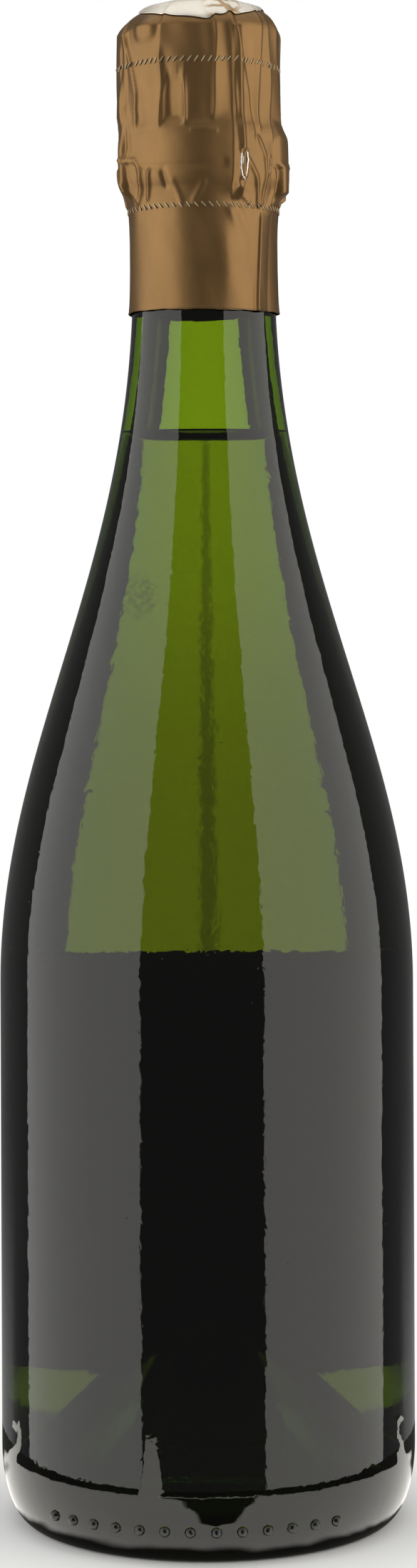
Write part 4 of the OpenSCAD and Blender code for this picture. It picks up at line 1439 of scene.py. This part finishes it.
@finish("pale_floor")
def floor_material(nodes):
    """The floor, and what the glass shows of it.

    The camera sees it pale near the bottle and white further off. The glass mirrors a bright
    ring on it round the foot, open in front and behind, with a tongue on the left and a spike
    on each side. Through the glass it is dark but for a strip behind the bottle.
    """
    look = bpy.context.scene.stage_look
    where, x, y, _ = nodes.place()
    r = (x * x + y * y) ** 0.5
    seen, through_glass, glossy = nodes.rays("Camera", "Transmission", "Glossy")
    mirrored = glossy * (1 - through_glass)
    pale = nodes.add("ShaderNodeBsdfDiffuse", inputs={
        "Color": nodes.tinted(look.floor, nodes.noise(where, 700, 2.0) * 0.02 + 0.99),
    })
    near = nodes.between(seen * nodes.ease(r, 0.16, 0.42), pale, nodes.glowing((1, 1, 1), 1.0))
    behind = nodes.ease(abs(x), BACKDROP_HALF, BACKDROP_HALF - 0.002) * nodes.ease(y, 0.04, 0.06)
    strip = nodes.ease(r, 0.092, 0.1) * nodes.ease(r, 0.175, 0.15)
    dimmed = 0.62 - nodes.ease(abs(x), 0.035, 0.06) * 0.4
    lit = nodes.between(through_glass, near, nodes.glowing((1, 1, 1), behind * strip * dimmed + 0.01))

    aside = abs(nodes.bearing(x - 0.003, y) + (nodes.noise(where, 40, 1.0) - 0.5) * 0.5)
    ragged = r + (nodes.noise(where, 60, 2.0) - 0.5) * 0.006
    left = nodes.bearing(x, y)
    tongue = nodes.ease(abs(left + 0.42 + (r - 0.095) * 0.93) + (r - 0.09) * 0.5, 0.1, 0.07)
    spike = nodes.ease(aside, 1.8, 1.9) * nodes.ease(aside, 2.04, 1.96)
    reach = 0.085 + tongue * 0.064 + spike * 0.042
    ring = nodes.ease(ragged - reach, 0.001, -0.001) * nodes.ease(ragged, 0.0418, 0.0445)
    gap = nodes.ease(r, 0.053, 0.057) * (nodes.sum("MINIMUM", r, 0.088) * 6 - 0.18)
    front = nodes.ease(aside - gap, -0.05, 0) * nodes.ease(aside, 2.15, 1.98)
    rim = nodes.ease(abs(ragged - 0.086), 0.0011, 0.0004) * nodes.ease(aside, 0.4, 0.34) * 1.8
    sheen = nodes.glowing((1, 0.97, 0.91), front * ring * 1.7 + rim + 0.06)
    table_top = nodes.between(mirrored, lit, sheen)
    far = mirrored * nodes.ease(r - nodes.sum("MAXIMUM", reach + 0.003, 0.099), 0, 0.001)
    return nodes.between(far, table_top, nodes.add("ShaderNodeBsdfTransparent"))


@finish("white_backdrop")
def backdrop_material(nodes):
    """A bright screen behind the bottle, darker in its middle low down."""
    where, x, _, z = nodes.place()
    middle = nodes.ease(abs(x + 0.002), 0.01, 0.003) * nodes.ease(z, 0.215, 0.19)
    glow = 0.98 + nodes.ease(z, 0.03, 0.12) * 0.2 - middle * 0.5 + nodes.noise(where, 6, 1.0) * 0.06
    return nodes.glowing((1, 1, 1), glow)


@finish("base_shade_card")
def base_shade_card_material(nodes):
    """A card that gives back no light: painted shade that only the glass shows, darkening the base of the
    bottle.
    """
    return nodes.glowing((0, 0, 0), 0.0)


def stage_panel(name, corners, material):
    """A flat panel of the stage."""
    panel = bpy.data.objects.new(name, bpy.data.meshes.new(name))
    panel.data.from_pydata(corners, [], [(0, 1, 2, 3)])
    panel.data.materials.append(material)
    bpy.context.scene.collection.objects.link(panel)
    return panel


def upright(half, y, low, high):
    """Corners of a panel that stands across the view."""
    return [(-half, y, low), (half, y, low), (half, y, high), (-half, y, high)]


def studio_world(look):
    """White for the camera, soft light for dull surfaces, and mostly dark in mirrors and glass."""
    world = bpy.data.worlds.new("studio")
    world.use_nodes = True
    world.node_tree.nodes.clear()
    nodes = Nodes(world.node_tree)
    x, y, z = nodes.parts(nodes.add("ShaderNodeTexCoord", out="Generated"))
    above = nodes.ease(z, 0.6, 0.85) * 0.85
    far_table = nodes.ease(z, -0.14, -0.24) * nodes.ease(abs(nodes.bearing(x, y)), 2.3, 2.5)
    seen, spread, through_glass = nodes.rays("Camera", "Diffuse", "Transmission")
    set_light = nodes.sum("MAXIMUM", above, far_table * (1 - through_glass) * 0.2)
    set_light = set_light + 0.125 - through_glass * 0.1
    strength = seen + spread * look.fill + (1 - seen - spread) * set_light
    light = nodes.add("ShaderNodeBackground", inputs={"Color": (1, 1, 1, 1), "Strength": strength})
    world.node_tree.links.new(light.socket, world.node_tree.nodes.new("ShaderNodeOutputWorld").inputs[0])
    return world


def area_lamp(name, shape, size, power, place):
    """An area lamp that the camera doesn't see."""
    lamp = bpy.data.lights.new(name, "AREA")
    lamp.shape = shape
    lamp.size = size
    lamp.energy = power
    box = bpy.data.objects.new(name, lamp)
    box.location = place
    box.visible_camera = False
    bpy.context.scene.collection.objects.link(box)
    return box


class MakeStage(bpy.types.Operator):
    """Makes the floor, the soft light and the camera"""
    bl_idname = "bottle.make_stage"
    bl_label = "Stage"

    def execute(self, context):
        look = context.scene.stage_look
        scene = context.scene
        scene.view_settings.view_transform = "Standard"
        scene.world = studio_world(look)

        corners = [(-1, -1, 0), (1, -1, 0), (1, 1, 0), (-1, 1, 0)]
        stage_panel("floor", [(x * FLOOR_HALF, y * FLOOR_HALF, z) for x, y, z in corners], floor_material())
        backdrop = stage_panel(
            "backdrop", upright(BACKDROP_HALF, BACKDROP_Y, 0.03, 0.4), backdrop_material())
        # The card is seen only through the glass: it puts painted shade in the base of the bottle
        card = stage_panel("base_shade_card", upright(CARD_HALF, CARD_Y, 0.014, 0.075), base_shade_card_material())
        for panel in (backdrop, card):
            panel.visible_camera = False
            panel.visible_diffuse = False
            panel.visible_shadow = False
            panel.visible_glossy = False

        for name, turn, warmth in SOFTBOXES:
            a = math.radians(turn)
            place = Vector((SOFTBOX_REACH * math.sin(a), -SOFTBOX_REACH * math.cos(a), SOFTBOX_Z))
            box = area_lamp(name, "RECTANGLE", SOFTBOX_SIZE[0], look.side_power, place)
            box.data.size_y = SOFTBOX_SIZE[1]
            box.data.color = warmth
            box.rotation_euler = Vector((-place.x, -place.y, 0)).to_track_quat("-Z", "Y").to_euler()
            box.visible_transmission = False
        top = area_lamp("top_softbox", "SQUARE", TOP_LAMP_SIZE, look.top_power, TOP_LAMP_PLACE)
        top.visible_glossy = False

        camera = bpy.data.objects.new("camera", bpy.data.cameras.new("camera"))
        camera.data.sensor_width = 36
        camera.data.lens = CAMERA_LENS
        camera.data.shift_y = CAMERA_SHIFT
        camera.data.clip_start = 0.01
        camera.matrix_world = (
            Matrix.Translation(CAMERA_PLACE)
            @ Matrix.Rotation(math.radians(CAMERA_ROLL), 4, "Y") @ Matrix.Rotation(math.radians(90), 4, "X")
        )
        scene.collection.objects.link(camera)
        scene.camera = camera
        return {"FINISHED"}


# Panel and start

STEPS = (
    MakeGlass, MakeHeelDots, MakeWine, MakeLabel, MakeSleeve, MakeTearBand, MakeCrown, MakeCuts,
    MakeCork, MakeCap, MakeCage, MakeBelt, MakeLoop, MakeStage,
)
LOOKS = {
    "glass_look": GlassLook, "wine_look": WineLook, "label_look": LabelLook, "foil_look": FoilLook,
    "cork_look": CorkLook, "cage_look": CageLook, "stage_look": StageLook,
}


class BottlePanel(bpy.types.Panel):
    """Lists the pieces of the bottle and what can be changed on them"""
    bl_idname = "VIEW3D_PT_bottle"
    bl_label = "Champagne Bottle"
    bl_space_type = "VIEW_3D"
    bl_region_type = "UI"
    bl_category = "Bottle"

    def draw(self, context):
        for key, kind in LOOKS.items():
            box = self.layout.box()
            box.label(text=key.replace("_", " ").capitalize())
            for prop in kind.__annotations__:
                box.prop(getattr(context.scene, key), prop)
        column = self.layout.column(align=True)
        for step in STEPS:
            column.operator(step.bl_idname)


def register():
    for kind in (*LOOKS.values(), *STEPS, BottlePanel):
        bpy.utils.register_class(kind)
    for key, kind in LOOKS.items():
        setattr(bpy.types.Scene, key, PointerProperty(type=kind))


def unregister():
    for key in LOOKS:
        delattr(bpy.types.Scene, key)
    for kind in reversed((*LOOKS.values(), *STEPS, BottlePanel)):
        bpy.utils.unregister_class(kind)


def main():
    register()
    bpy.ops.bottle.make_glass()
    bpy.ops.bottle.make_heel_dots()
    bpy.ops.bottle.make_wine()
    bpy.ops.bottle.make_label()
    bpy.ops.bottle.make_sleeve()
    bpy.ops.bottle.make_tear_band()
    bpy.ops.bottle.make_crown()
    bpy.ops.bottle.make_cuts()
    bpy.ops.bottle.make_cork()
    bpy.ops.bottle.make_cap()
    bpy.ops.bottle.make_cage()
    bpy.ops.bottle.make_belt()
    bpy.ops.bottle.make_loop()
    bpy.ops.bottle.make_stage()


if __name__ == "__main__":
    main()
